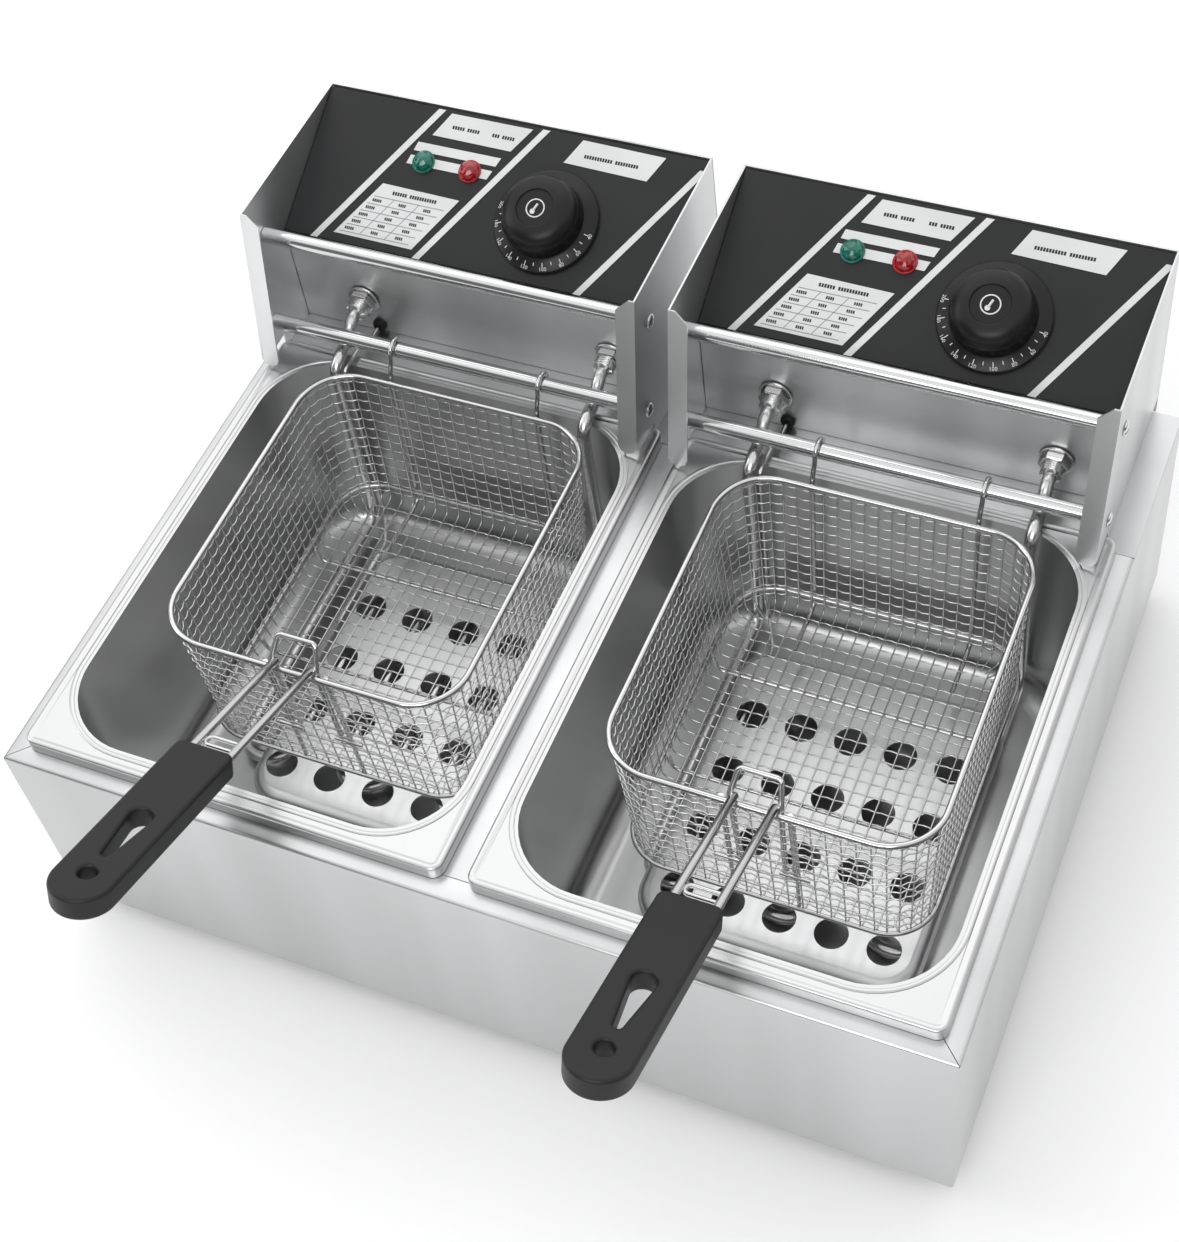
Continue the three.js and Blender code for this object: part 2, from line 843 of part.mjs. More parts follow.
function buildHead(side) {
  const group = new THREE.Group();
  group.position.x = head.offsetX;
  const face = panelFrame();
  face.add(
    part(`${side}_control_panel`, controlPanel(), panelBlack),
    at(part(`${side}_knob`, dialKnob(), blackPlastic), knob.x, knob.along, 0),
    at(part(`${side}_thermostat`, thermostat(), greyPlastic), knob.x, knob.along, 0),
    at(part(`${side}_lamp_green`, pilotLamp(), greenLens), lamp.greenX, lamp.along, 0),
    at(part(`${side}_lamp_red`, pilotLamp(), redLens), lamp.redX, lamp.along, 0),
  );
  const gland = part(`${side}_cord_gland`, cordGland(), blackRubber);
  gland.rotation.x = -Math.PI / 2;
  const rightCheek = part(`${side}_head_right_cheek`, headCheek(), brushedSteel);
  rightCheek.scale.x = -1;
  group.add(
    part(`${side}_head_shell`, headShell(), brushedSteel),
    part(`${side}_head_left_cheek`, headCheek(), brushedSteel),
    rightCheek,
    part(`${side}_head_back`, headBack(), brushedSteel),
    part(`${side}_upper_rod`, headRod(rod.upper), polishedSteel),
    part(`${side}_lower_rod`, headRod(rod.lower), polishedSteel),
    at(gland, 90, head.rearY + head.sheet + 2 * GAP, 175),
    face,
  );
  return group;
}

function buildUnit(side) {
  const unit = new THREE.Group();
  unit.position.x = side === "left" ? -unitPitch / 2 : unitPitch / 2;
  const grabbed = handleFrame();
  grabbed.add(
    part(`${side}_handle_rods`, handleWire(), polishedSteel),
    part(`${side}_handle_grip`, handleGrip(), blackPlastic),
  );
  const nut = (label, x) =>
    at(part(`${side}_element_nut_${label}`, elementNut(), polishedSteel), x, 0, element.portZ);
  unit.add(
    part(`${side}_tank`, oilTank(), polishedSteel),
    part(`${side}_strainer_plate`, strainerPlate(strainerOf[side]), brushedSteel),
    part(`${side}_heating_element`, heatingElement(), polishedSteel),
    part(`${side}_sensor_probe`, sensorProbe(), polishedSteel),
    nut("left", -element.legX),
    nut("right", element.legX),
    part(`${side}_basket_mesh`, basketMesh(), polishedSteel),
    part(`${side}_basket_rim`, basketRim(), polishedSteel),
    part(`${side}_basket_base_ring`, basketBaseRing(), polishedSteel),
    part(`${side}_basket_hooks`, basketHooks(), polishedSteel),
    part(`${side}_basket_bracket`, basketBracket(), polishedSteel),
    grabbed,
    buildHead(side),
  );
  return unit;
}

function buildCabinet() {
  const group = new THREE.Group();
  group.add(
    part("cabinet_body", cabinetBody(), brushedSteel),
    part("cabinet_back", cabinetBack(), brushedSteel),
    part("cabinet_base", cabinetBase(), brushedSteel),
    part("cabinet_deck", cabinetDeck(), brushedSteel),
    part("centre_bar", centreBar(), brushedSteel),
  );
  for (const [label, signX, signY] of [
    ["front_left", -1, -1],
    ["front_right", 1, -1],
    ["rear_left", -1, 1],
    ["rear_right", 1, 1],
  ]) {
    const x = signX * (halfWidth - foot.inset);
    const y = signY * (halfDepth - foot.inset);
    group.add(at(part(`foot_${label}`, rubberFoot(), blackRubber), x, y, 0));
  }
  return group;
}

const fryer = new THREE.Group();
const body = new THREE.Group();
body.add(buildCabinet(), buildUnit("left"), buildUnit("right"));
body.position.z = foot.height;
fryer.add(body);

// The origin lies under the middle of the whole outline, on the surface the feet stand on.
const outline = new THREE.Box3().setFromObject(fryer, true);
body.position.y = -(outline.min.y + outline.max.y) / 2;

export default fryer;
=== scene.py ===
# The looks of the twin-tank deep fryer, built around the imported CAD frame. Blender 4.5.
# Each piece is drawn in millimetres in its own unit's frame and placed by the CAD boxes.
import math
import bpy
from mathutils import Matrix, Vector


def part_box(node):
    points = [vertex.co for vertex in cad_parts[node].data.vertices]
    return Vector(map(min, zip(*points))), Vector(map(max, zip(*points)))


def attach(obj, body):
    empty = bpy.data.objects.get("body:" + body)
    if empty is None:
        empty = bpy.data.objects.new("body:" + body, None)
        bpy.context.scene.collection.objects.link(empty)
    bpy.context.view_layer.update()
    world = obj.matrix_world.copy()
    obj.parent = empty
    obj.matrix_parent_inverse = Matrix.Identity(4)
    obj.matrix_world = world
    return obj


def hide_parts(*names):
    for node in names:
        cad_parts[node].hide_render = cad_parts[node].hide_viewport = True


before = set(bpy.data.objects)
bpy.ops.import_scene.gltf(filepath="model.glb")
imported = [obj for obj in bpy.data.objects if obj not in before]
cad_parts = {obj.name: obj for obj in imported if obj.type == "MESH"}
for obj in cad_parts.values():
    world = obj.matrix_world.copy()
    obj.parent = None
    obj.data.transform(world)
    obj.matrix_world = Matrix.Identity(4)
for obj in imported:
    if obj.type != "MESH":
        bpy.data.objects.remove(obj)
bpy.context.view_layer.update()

from types import SimpleNamespace

import bmesh
import bpy
from mathutils import Matrix, Vector

MM = 0.001
SIDES = ("left", "right")
TAU = 2 * math.pi


# ------------------------------------------------------------------ places read from the frame
def box_mm(node, origin=Vector((0, 0, 0))):
    """A CAD node's corners in millimetres, seen from an origin in metres."""
    low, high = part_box(node)
    return (low - origin) / MM, (high - origin) / MM


CABINET_LOW, CABINET_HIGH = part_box("cabinet_body")
CABINET = Vector((0, (CABINET_LOW.y + CABINET_HIGH.y) / 2, CABINET_LOW.z))


def unit_origin(side):
    """Under the tank's middle, at the cabinet's centre in depth and at its lower edge."""
    low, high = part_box(f"{side}_tank")
    return Vector(((low.x + high.x) / 2, CABINET.y, CABINET.z))


ORIGIN = {side: unit_origin(side) for side in SIDES}
HEAD_X = -4.4  # the head's middle, seen from the tank's
WALL_Y = 146.0  # the outer face of the head's front wall
LEG_Y = 97.0  # where the element and the probe go down into the tank
PROBE_X, PROBE_PORT_Z = -78.0, 158.0
PANEL_SLOPE = math.atan2(44.5, 87.5)
PANEL_FRONT = Vector((HEAD_X, WALL_Y, 226))
PANEL_SPIN = Matrix.Rotation(PANEL_SLOPE, 4, "X")
HANDLE_SLOPE = math.radians(20)
HANDLE_START = Vector((-1.5, -118.5, 168.4))
HANDLE_SPIN = Matrix.Rotation(-HANDLE_SLOPE, 4, "X") @ Matrix.Rotation(math.pi, 4, "Z")


# ------------------------------------------------------------------ materials
def node_material(name, base, roughness, metallic=0.0, **sockets):
    material = bpy.data.materials.new(name)
    material.use_nodes = True
    shader = material.node_tree.nodes["Principled BSDF"]
    shader.inputs["Base Color"].default_value = (*base, 1)
    shader.inputs["Roughness"].default_value = roughness
    shader.inputs["Metallic"].default_value = metallic
    for socket, value in sockets.items():
        shader.inputs[socket.replace("_", " ")].default_value = value
    return material, material.node_tree, shader


def noise(tree, stretch, detail=3.0, rough=0.5):
    """Noise in object space, with its own number of cells per metre along each axis."""
    coordinates = tree.nodes.new("ShaderNodeTexCoord")
    mapping = tree.nodes.new("ShaderNodeMapping")
    mapping.inputs["Scale"].default_value = stretch
    texture = tree.nodes.new("ShaderNodeTexNoise")
    texture.inputs["Scale"].default_value = 1
    texture.inputs["Detail"].default_value = detail
    texture.inputs["Roughness"].default_value = rough
    tree.links.new(coordinates.outputs["Object"], mapping.inputs["Vector"])
    tree.links.new(mapping.outputs["Vector"], texture.inputs["Vector"])
    return texture.outputs["Fac"]


def remap(tree, value, low, high):
    node = tree.nodes.new("ShaderNodeMapRange")
    node.inputs["From Min"].default_value = 0.25
    node.inputs["From Max"].default_value = 0.75
    node.inputs["To Min"].default_value = low
    node.inputs["To Max"].default_value = high
    tree.links.new(value, node.inputs["Value"])
    return node.outputs["Result"]


def tint(tree, value, dark, light):
    node = tree.nodes.new("ShaderNodeMix")
    node.data_type = "RGBA"
    node.inputs["A"].default_value = (*dark, 1)
    node.inputs["B"].default_value = (*light, 1)
    tree.links.new(value, node.inputs["Factor"])
    return node.outputs["Result"]


def bump(tree, shader, height, strength, distance):
    node = tree.nodes.new("ShaderNodeBump")
    node.inputs["Strength"].default_value = strength
    node.inputs["Distance"].default_value = distance
    tree.links.new(height, node.inputs["Height"])
    tree.links.new(node.outputs["Normal"], shader.inputs["Normal"])


def grain_tangent(tree):
    """The way the brushing runs: level on upright faces, and along X on level ones."""
    geometry = tree.nodes.new("ShaderNodeNewGeometry")
    cross = tree.nodes.new("ShaderNodeVectorMath")
    cross.operation = "CROSS_PRODUCT"
    cross.inputs[1].default_value = (0, 0.3, 1)
    tree.links.new(geometry.outputs["Normal"], cross.inputs[0])
    return cross.outputs["Vector"]


def steel(name, shade, roughness, spread, grain, depth, brushing=0.0, painted_reflection_bands=0.0):
    """Stainless steel: fine streaks along the brushing, slow changes of gloss, and soft upright bands of
    painted reflection and shade in the colour.
    """
    material, tree, shader = node_material(name, shade, roughness, 1.0)
    streaks = noise(tree, grain, 2.0, 0.6)
    clouds = noise(tree, (9, 9, 9), 2.0)
    dark = tuple(0.95 * channel for channel in shade)
    colour = tint(tree, streaks, dark, shade)
    # Painted reflection and shade: slow noise makes the colour darker and lighter in soft upright bands.
    if painted_reflection_bands:
        shading = noise(tree, (16, 16, 1.2), 1.5)
        scale = tree.nodes.new("ShaderNodeVectorMath")
        scale.operation = "SCALE"
        tree.links.new(colour, scale.inputs[0])
        tree.links.new(remap(tree, shading, 1 - painted_reflection_bands, 1 + painted_reflection_bands), scale.inputs["Scale"])
        colour = scale.outputs["Vector"]
    tree.links.new(colour, shader.inputs["Base Color"])
    total = tree.nodes.new("ShaderNodeMath")
    tree.links.new(remap(tree, streaks, roughness - spread, roughness + spread), total.inputs[0])
    tree.links.new(remap(tree, clouds, -spread / 2, spread / 2), total.inputs[1])
    tree.links.new(total.outputs["Value"], shader.inputs["Roughness"])
    bump(tree, shader, streaks, depth, 0.0001)
    if brushing:
        shader.inputs["Anisotropic"].default_value = brushing
        shader.inputs["Anisotropic Rotation"].default_value = 0.25
        tree.links.new(grain_tangent(tree), shader.inputs["Tangent"])
    return material


def moulded(name, base, roughness, grain, depth):
    """Plastic, rubber or film with a fine moulded grain."""
    material, tree, shader = node_material(name, base, roughness, Specular_IOR_Level=0.3)
    fine = noise(tree, (grain, grain, grain), 2.0, 0.6)
    handled = noise(tree, (25, 25, 25), 2.0)
    light = tuple(1.25 * channel + 0.003 for channel in base)
    tree.links.new(tint(tree, handled, base, light), shader.inputs["Base Color"])
    tree.links.new(remap(tree, handled, roughness - 0.04, roughness + 0.06), shader.inputs["Roughness"])
    bump(tree, shader, fine, depth, 0.0001)
    return material


def lens(name, base, painted_glow):
    """Clear coloured plastic with painted glints, and a faint painted glow in its own colour."""
    material, tree, shader = node_material(name, base, 0.08, Coat_Weight=0.5, Coat_Roughness=0.04)
    # Painted glints: fine noise lightens the colour in small spots, and the same colour is given out as a
    # faint painted glow.
    painted_glints = noise(tree, (320, 320, 320), 1.0)
    colour = tint(tree, painted_glints, base, painted_glow)
    tree.links.new(colour, shader.inputs["Base Color"])
    tree.links.new(colour, shader.inputs["Emission Color"])
    shader.inputs["Emission Strength"].default_value = 0.12
    return material


ALONG_X, ALL_WAYS = (10, 2200, 2200), (900, 900, 900)
FINISH = {
    # The last number for cabinet_steel and head_steel sets how strong their painted reflection bands are.
    "cabinet_steel": steel("cabinet_steel", (0.60, 0.605, 0.61), 0.32, 0.02, ALONG_X, 0.02, 0.5, 0.10),
    "head_steel": steel("head_steel", (0.70, 0.705, 0.71), 0.36, 0.02, ALONG_X, 0.02, 0.6, 0.26),
    "tank_steel": steel("tank_steel", (0.57, 0.573, 0.576), 0.29, 0.012, ALL_WAYS, 0.004),
    "plate_steel": steel("plate_steel", (0.66, 0.663, 0.667), 0.30, 0.02, ALONG_X, 0.02, 0.4),
    "element_steel": steel("element_steel", (0.66, 0.66, 0.66), 0.24, 0.05, ALL_WAYS, 0.03),
    "fitting_steel": steel("fitting_steel", (0.72, 0.72, 0.72), 0.14, 0.03, ALL_WAYS, 0.02),
    "rod_steel": steel("rod_steel", (0.70, 0.705, 0.71), 0.13, 0.03, ALONG_X, 0.02),
    "basket_wire": steel("basket_wire", (0.62, 0.62, 0.62), 0.16, 0.04, ALL_WAYS, 0.02),
    "panel_black": moulded("panel_black", (0.013, 0.0135, 0.0145), 0.38, 2600, 0.08),
    "panel_print": moulded("panel_print", (0.60, 0.61, 0.61), 0.42, 2600, 0.03),
    "knob_plastic": moulded("knob_plastic", (0.005, 0.005, 0.0055), 0.33, 3200, 0.08),
    "grip_plastic": moulded("grip_plastic", (0.012, 0.012, 0.013), 0.42, 2400, 0.22),
    "grey_plastic": moulded("grey_plastic", (0.26, 0.27, 0.28), 0.50, 1800, 0.15),
    # The second colour of each lens is its painted glint and glow colour.
    "lens_green": lens("lens_green", (0.0, 0.030, 0.024), (0.0, 0.20, 0.14)),
    "lens_red": lens("lens_red", (0.09, 0.0005, 0.002), (0.46, 0.003, 0.010)),
    "rubber": moulded("rubber", (0.012, 0.012, 0.012), 0.62, 1600, 0.30),
}


# ------------------------------------------------------------------ outlines, paths and meshes
def rounded_outline(half_x, half_y, radius, x=0.0, y=0.0, steps=12):
    """Points round a rounded rectangle, anticlockwise, as many whatever its size."""
    points = []
    for corner in range(4):
        sign_x = 1 if corner in (0, 3) else -1
        sign_y = 1 if corner < 2 else -1
        for step in range(steps + 1):
            angle = (corner + step / steps) * math.pi / 2
            points.append(
                (
                    x + sign_x * (half_x - radius) + radius * math.cos(angle),
                    y + sign_y * (half_y - radius) + radius * math.sin(angle),
                )
            )
    return points


def circle(radius, sides, x=0.0, y=0.0):
    return [
        (x + radius * math.cos(TAU * i / sides), y + radius * math.sin(TAU * i / sides))
        for i in range(sides)
    ]


def bent_path(corners, bend=3.0, steps=6, closed=False):
    """Points along straight runs joined by round bends. A corner is (x, y, z) or (x, y, z, bend)."""
    points = [Vector(corner[:3]) for corner in corners]
    count = len(points)
    path = []
    for i, corner in enumerate(points):
        if not closed and i in (0, count - 1):
            path.append(corner)
            continue
        before = (corner - points[i - 1]).normalized()
        after = (points[(i + 1) % count] - corner).normalized()
        turn = before.angle(after)
        if turn < 1e-3:
            path.append(corner)
            continue
        radius = corners[i][3] if len(corners[i]) > 3 else bend
        axis = before.cross(after).normalized()
        start = corner - before * radius * math.tan(turn / 2)
        centre = start + axis.cross(before) * radius
        for step in range(steps + 1):
            spin = Matrix.Rotation(turn * step / steps, 3, axis)
            path.append(centre + spin @ (start - centre))
    return path


class Shape:
    """Vertices in millimetres and faces, gathered from simple bodies."""

    def __init__(self):
        self.vertices = []
        self.faces = []

    def add(self, vertices, faces, matrix=None):
        base = len(self.vertices)
        self.vertices += [matrix @ Vector(v) if matrix else Vector(v) for v in vertices]
        self.faces += [tuple(base + i for i in face) for face in faces]
        return self

    def loft(self, rings, ends=(True, True), closed=False, matrix=None):
        """A skin over rings of equal count: (outline, z) pairs, or lists of 3-D points."""
        count = len(rings[0][0]) if len(rings[0]) == 2 else len(rings[0])
        vertices = []
        for ring in rings:
            if len(ring) == 2:
                outline, z = ring
                vertices += [(p[0], p[1], z) for p in outline]
            else:
                vertices += ring
        faces = []
        spans = len(rings) if closed else len(rings) - 1
        for r in range(spans):
            a, b = r * count, ((r + 1) % len(rings)) * count
            for i in range(count):
                j = (i + 1) % count
                faces.append((a + i, a + j, b + j, b + i))
        if not closed and ends[0]:
            faces.append(tuple(reversed(range(count))))
        if not closed and ends[1]:
            faces.append(tuple(range(len(vertices) - count, len(vertices))))
        return self.add(vertices, faces, matrix)

    def tube(self, path, radius, sides=12, closed=False, matrix=None):
        """Round wire along points, its section carried without twist."""
        points = [Vector(p) for p in path]
        count = len(points)

        def direction(i):
            if closed:
                return (points[(i + 1) % count] - points[i - 1]).normalized()
            return (points[min(i + 1, count - 1)] - points[max(i - 1, 0)]).normalized()

        tangent = direction(0)
        normal = tangent.orthogonal().normalized()
        rings = []
        for i, point in enumerate(points):
            following = direction(i)
            normal = tangent.rotation_difference(following) @ normal
            normal = (normal - following * normal.dot(following)).normalized()
            tangent = following
            side = tangent.cross(normal)
            rings.append(
                [
                    point + radius * (math.cos(TAU * k / sides) * normal + math.sin(TAU * k / sides) * side)
                    for k in range(sides)
                ]
            )
        return self.loft(rings, closed=closed, matrix=matrix)

    def lathe(self, profile, sides=48, matrix=None):
        """A profile of (radius, z) turned about Z. A radius of 0 closes it."""
        rings = [(circle(max(radius, 1e-3), sides), z) for radius, z in profile]
        return self.loft(rings, matrix=matrix)

    def block(self, low, high, matrix=None):
        (x0, y0, z0), (x1, y1, z1) = low, high
        outline = [(x0, y0), (x1, y0), (x1, y1), (x0, y1)]
        return self.loft([(outline, z0), (outline, z1)], matrix=matrix)

    def prism(self, outline, z0, z1, matrix=None):
        return self.loft([(outline, z0), (outline, z1)], matrix=matrix)

    def mesh(self, name):
        data = bpy.data.meshes.new(name)
        data.from_pydata([v * MM for v in self.vertices], [], self.faces)
        return welded(data)


def welded(data, distance=2e-6, outward=True):
    """The mesh with its doubled points joined, and its faces turned outward."""
    welder = bmesh.new()
    welder.from_mesh(data)
    bmesh.ops.remove_doubles(welder, verts=welder.verts, dist=distance)
    if outward:
        bmesh.ops.recalc_face_normals(welder, faces=welder.faces)
    welder.to_mesh(data)
    welder.free()
    return data


def evaluated(item, name):
    """The item's mesh with its modifiers applied."""
    graph = bpy.context.evaluated_depsgraph_get()
    data = bpy.data.meshes.new_from_object(item.evaluated_get(graph))
    data.name = name
    return data


def curve_mesh(curve, name):
    """A curve or a text turned into a mesh."""
    blank = bpy.data.objects.new(name, curve)
    bpy.context.collection.objects.link(blank)
    bpy.context.view_layer.update()
    mesh = evaluated(blank, name)
    bpy.data.objects.remove(blank)
    return mesh


def facing_front(x, y, z):
    """A place whose own Z points to the front."""
    return Matrix.Translation((x, y, z)) @ Matrix.Rotation(math.radians(90), 4, "X")


def in_metres(place):
    """A millimetre placement, for a mesh in metres."""
    scaled = place.copy()
    scaled.translation *= MM
    return scaled


def carved(item, cutter_shape):
    """The item with a shape taken out of it."""
    cutter = bpy.data.objects.new("cutter", cutter_shape.mesh("cutter"))
    cutter.location = item.location
    bpy.context.collection.objects.link(cutter)
    modifier = item.modifiers.new("carve", "BOOLEAN")
    modifier.operation = "DIFFERENCE"
    modifier.solver = "EXACT"
    modifier.object = cutter
    bpy.context.view_layer.update()
    item.data = evaluated(item, item.data.name)
    item.modifiers.clear()
    bpy.data.objects.remove(cutter)
    return item


def soften(item, width):
    """Rounded edges that catch the light."""
    modifier = item.modifiers.new("edges", "BEVEL")
    modifier.width = width * MM
    modifier.segments = 3
    modifier.limit_method = "ANGLE"
    modifier.angle_limit = math.radians(35)
    modifier.harden_normals = True
    modifier.miter_outer = "MITER_ARC"
    return item


def smooth(item, angle=35):
    item.data.shade_smooth()
    item.data.set_sharp_from_angle(angle=math.radians(angle))
    return item


def piece(name, source, body, slot, origin, replaces=(), edge=0.0, angle=35, material=None, cut=None):
    """Puts a Shape or a mesh in the scene as one finished piece of the object."""
    data = source.mesh(name) if isinstance(source, Shape) else source
    item = bpy.data.objects.new(name, data)
    item.location = origin
    bpy.context.collection.objects.link(item)
    if cut:
        carved(item, cut)
    item.data.materials.clear()
    item.data.materials.append(FINISH[material or slot])
    smooth(item, angle)
    if edge:
        soften(item, edge)
    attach(item, body)
    if replaces:
        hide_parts(*replaces)
    return item


def refined(node, body, slot, edge):
    """A CAD sheet drawn again with rounded edges and truly flat faces."""
    data = welded(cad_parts[node].data.copy(), outward=False)
    item = piece(f"{node}_sheet", data, body, slot, (0, 0, 0), (node,))
    soften(item, edge)
    weigh(item)
    return item


def weigh(item):
    """Flat faces keep their own shading beside rounded ones."""
    modifier = item.modifiers.new("weighted", "WEIGHTED_NORMAL")
    modifier.keep_sharp = True


# ------------------------------------------------------------------ stage, camera and light
def build_stage():
    floor = bpy.data.meshes.new("floor")
    reach = 40
    floor.from_pydata([(-reach, -reach, 0), (reach, -reach, 0), (reach, reach, 0), (-reach, reach, 0)],
                      [], [(0, 1, 2, 3)])
    item = bpy.data.objects.new("floor", floor)
    item.location.z = -0.0005
    bpy.context.collection.objects.link(item)
    material, tree, shader = node_material("pale_floor", (0.93, 0.93, 0.93), 0.6)
    mottle = noise(tree, (3, 3, 3), 2.0)
    tree.links.new(tint(tree, mottle, (0.92, 0.92, 0.92), (0.94, 0.94, 0.94)), shader.inputs["Base Color"])
    floor.materials.append(material)


def build_camera():
    camera = bpy.data.cameras.new("camera")
    camera.lens = 63.41
    item = bpy.data.objects.new("camera", camera)
    item.location = (0.39009, -0.63473, 1.16454)
    item.rotation_euler = [math.radians(a) for a in (36.695, 6.154, 22.75)]
    bpy.context.collection.objects.link(item)
    bpy.context.scene.camera = item


def area_light(name, place, target, size, watts):
    light = bpy.data.lights.new(name, "AREA")
    light.shape = "RECTANGLE"
    light.size, light.size_y = size
    light.energy = watts
    item = bpy.data.objects.new(name, light)
    item.location = place
    item.rotation_euler = (Vector(target) - Vector(place)).to_track_quat("-Z", "Y").to_euler()
    bpy.context.collection.objects.link(item)


def build_light():
    centre = (0, 0, 0.15)
    area_light("ceiling_softbox", (-0.7, 1.2, 2.4), centre, (2.6, 1.8), 12)
    area_light("left_softbox", (-2.2, -0.5, 1.2), centre, (0.9, 1.6), 9)
    area_light("front_softbox", (0.3, -2.2, 1.9), centre, (1.8, 1.0), 25)
    world = bpy.data.worlds.new("studio")
    world.use_nodes = True
    tree = world.node_tree
    coordinates = tree.nodes.new("ShaderNodeTexCoord")
    # Height in the sky, with the back of the studio brighter than the front.
    weight = tree.nodes.new("ShaderNodeVectorMath")
    weight.operation = "DOT_PRODUCT"
    weight.inputs[1].default_value = (0, 0.4, 1)
    ramp = tree.nodes.new("ShaderNodeValToRGB")
    tree.links.new(coordinates.outputs["Generated"], weight.inputs[0])
    tree.links.new(weight.outputs["Value"], ramp.inputs["Fac"])
    stops = ramp.color_ramp.elements
    stops[0].position, stops[0].color = 0.0, (0.16, 0.16, 0.16, 1)
    stops[1].position, stops[1].color = 1.0, (0.85, 0.85, 0.85, 1)
    for position, value in ((0.18, 0.10), (0.34, 0.38), (0.50, 0.85), (0.66, 1.0)):
        stop = stops.new(position)
        stop.color = (value, value, value, 1)
    background = tree.nodes["Background"]
    tree.links.new(ramp.outputs["Color"], background.inputs["Color"])
    background.inputs["Strength"].default_value = 1.15
    bpy.context.scene.world = world
    bpy.context.scene.view_settings.view_transform = "Standard"


# ------------------------------------------------------------------ cabinet
def build_cabinet():
    low, high = box_mm("cabinet_body", CABINET)
    deck_low, deck_high = box_mm("cabinet_deck", CABINET)
    half_x, front, rear = high.x, low.y, high.y
    height = deck_high.z
    sheet, flange, lip, fold = 1.0, 14.0, 12.0, 2.2

    def arc(centre, radius, start, sweep, steps=5):
        for step in range(steps + 1):
            angle = math.radians(start + sweep * step / steps)
            yield centre[0] + radius * math.cos(angle), centre[1] + radius * math.sin(angle)

    # The section, as (distance in from the outer face, height): outside going up, inside coming down.
    section = [(lip, 0)]
    section += arc((fold, fold), fold, 270, -90)
    section += arc((fold, height - fold), fold, 180, -90)
    section += [(flange, height), (flange, height - sheet)]
    section += arc((fold, height - fold), fold - sheet, 90, 90)
    section += arc((fold, fold), fold - sheet, 180, 90)
    section += [(lip, sheet)]

    corner = 1.4  # outside radius of the upright corners

    def ring(inset, z):
        """The open path round three sides, moved in by an inset, with turned corners."""
        turn = max(corner - inset, 0.05)
        path = [(-half_x + inset, rear)]
        for centre_x, start in ((-half_x, 180), (half_x, 270)):
            inward = 1 if centre_x < 0 else -1
            centre = (centre_x + inward * (inset + turn), front + inset + turn)
            path += list(arc(centre, turn, start, 90, 4))
        path.append((half_x - inset, rear))
        return [Vector((x, y, z)) for x, y in path]

    columns = [ring(inset, z) for inset, z in section]
    rows = [[column[i] for column in columns] for i in range(len(columns[0]))]
    shell = piece("cabinet_body_sheet", Shape().loft(rows), "cabinet", "cabinet_steel", CABINET,
                  ("cabinet_body",), angle=40)
    cutters = Shape()
    cutters.block((-half_x - 2, deck_low.y - 0.3, height - 1.3), (half_x + 2, rear + 2, height + 2))
    for side in (-1, 1):
        seam = Matrix.Translation((side * half_x, front, height)) @ Matrix.Rotation(
            side * math.radians(45), 4, "Z")
        cutters.block((-0.2, 1.0, -1.6), (0.2, 24, 1), seam)
    carved(shell, cutters)
    smooth(shell, 40)

    refined("cabinet_back", "cabinet", "cabinet_steel", 0.3)
    refined("cabinet_base", "cabinet", "cabinet_steel", 0.3)
    refined("cabinet_deck", "cabinet", "cabinet_steel", 0.3)
    refined("centre_bar", "cabinet", "cabinet_steel", 0.4)

    for label in ("front_left", "front_right", "rear_left", "rear_right"):
        foot_low, foot_high = box_mm(f"foot_{label}")
        middle = (foot_low + foot_high) / 2 * MM
        radius, tall = (foot_high.x - foot_low.x) / 2, foot_high.z - foot_low.z
        foot = Shape().lathe(
            [(0, 2.2), (4.2, 2.2), (4.8, 1.0), (5.4, 0.1), (radius - 3.2, 0), (radius - 2.4, 0.35),
             (radius - 1.9, 1.2), (radius - 0.5, tall - 3.2), (radius, tall - 2.2), (radius, tall - 0.6),
             (radius - 0.6, tall), (0, tall)],
        )
        piece(f"foot_{label}_rubber", foot, "cabinet", "rubber", (middle.x, middle.y, 0),
              (f"foot_{label}",))
        screw = Shape().lathe([(0, 0.8), (2.2, 0.8), (3.4, 1.4), (3.9, 2.2), (3.9, 2.6), (0, 2.6)], 32)
        piece(f"foot_{label}_screw", screw, "cabinet", "fitting_steel", (middle.x, middle.y, 0))


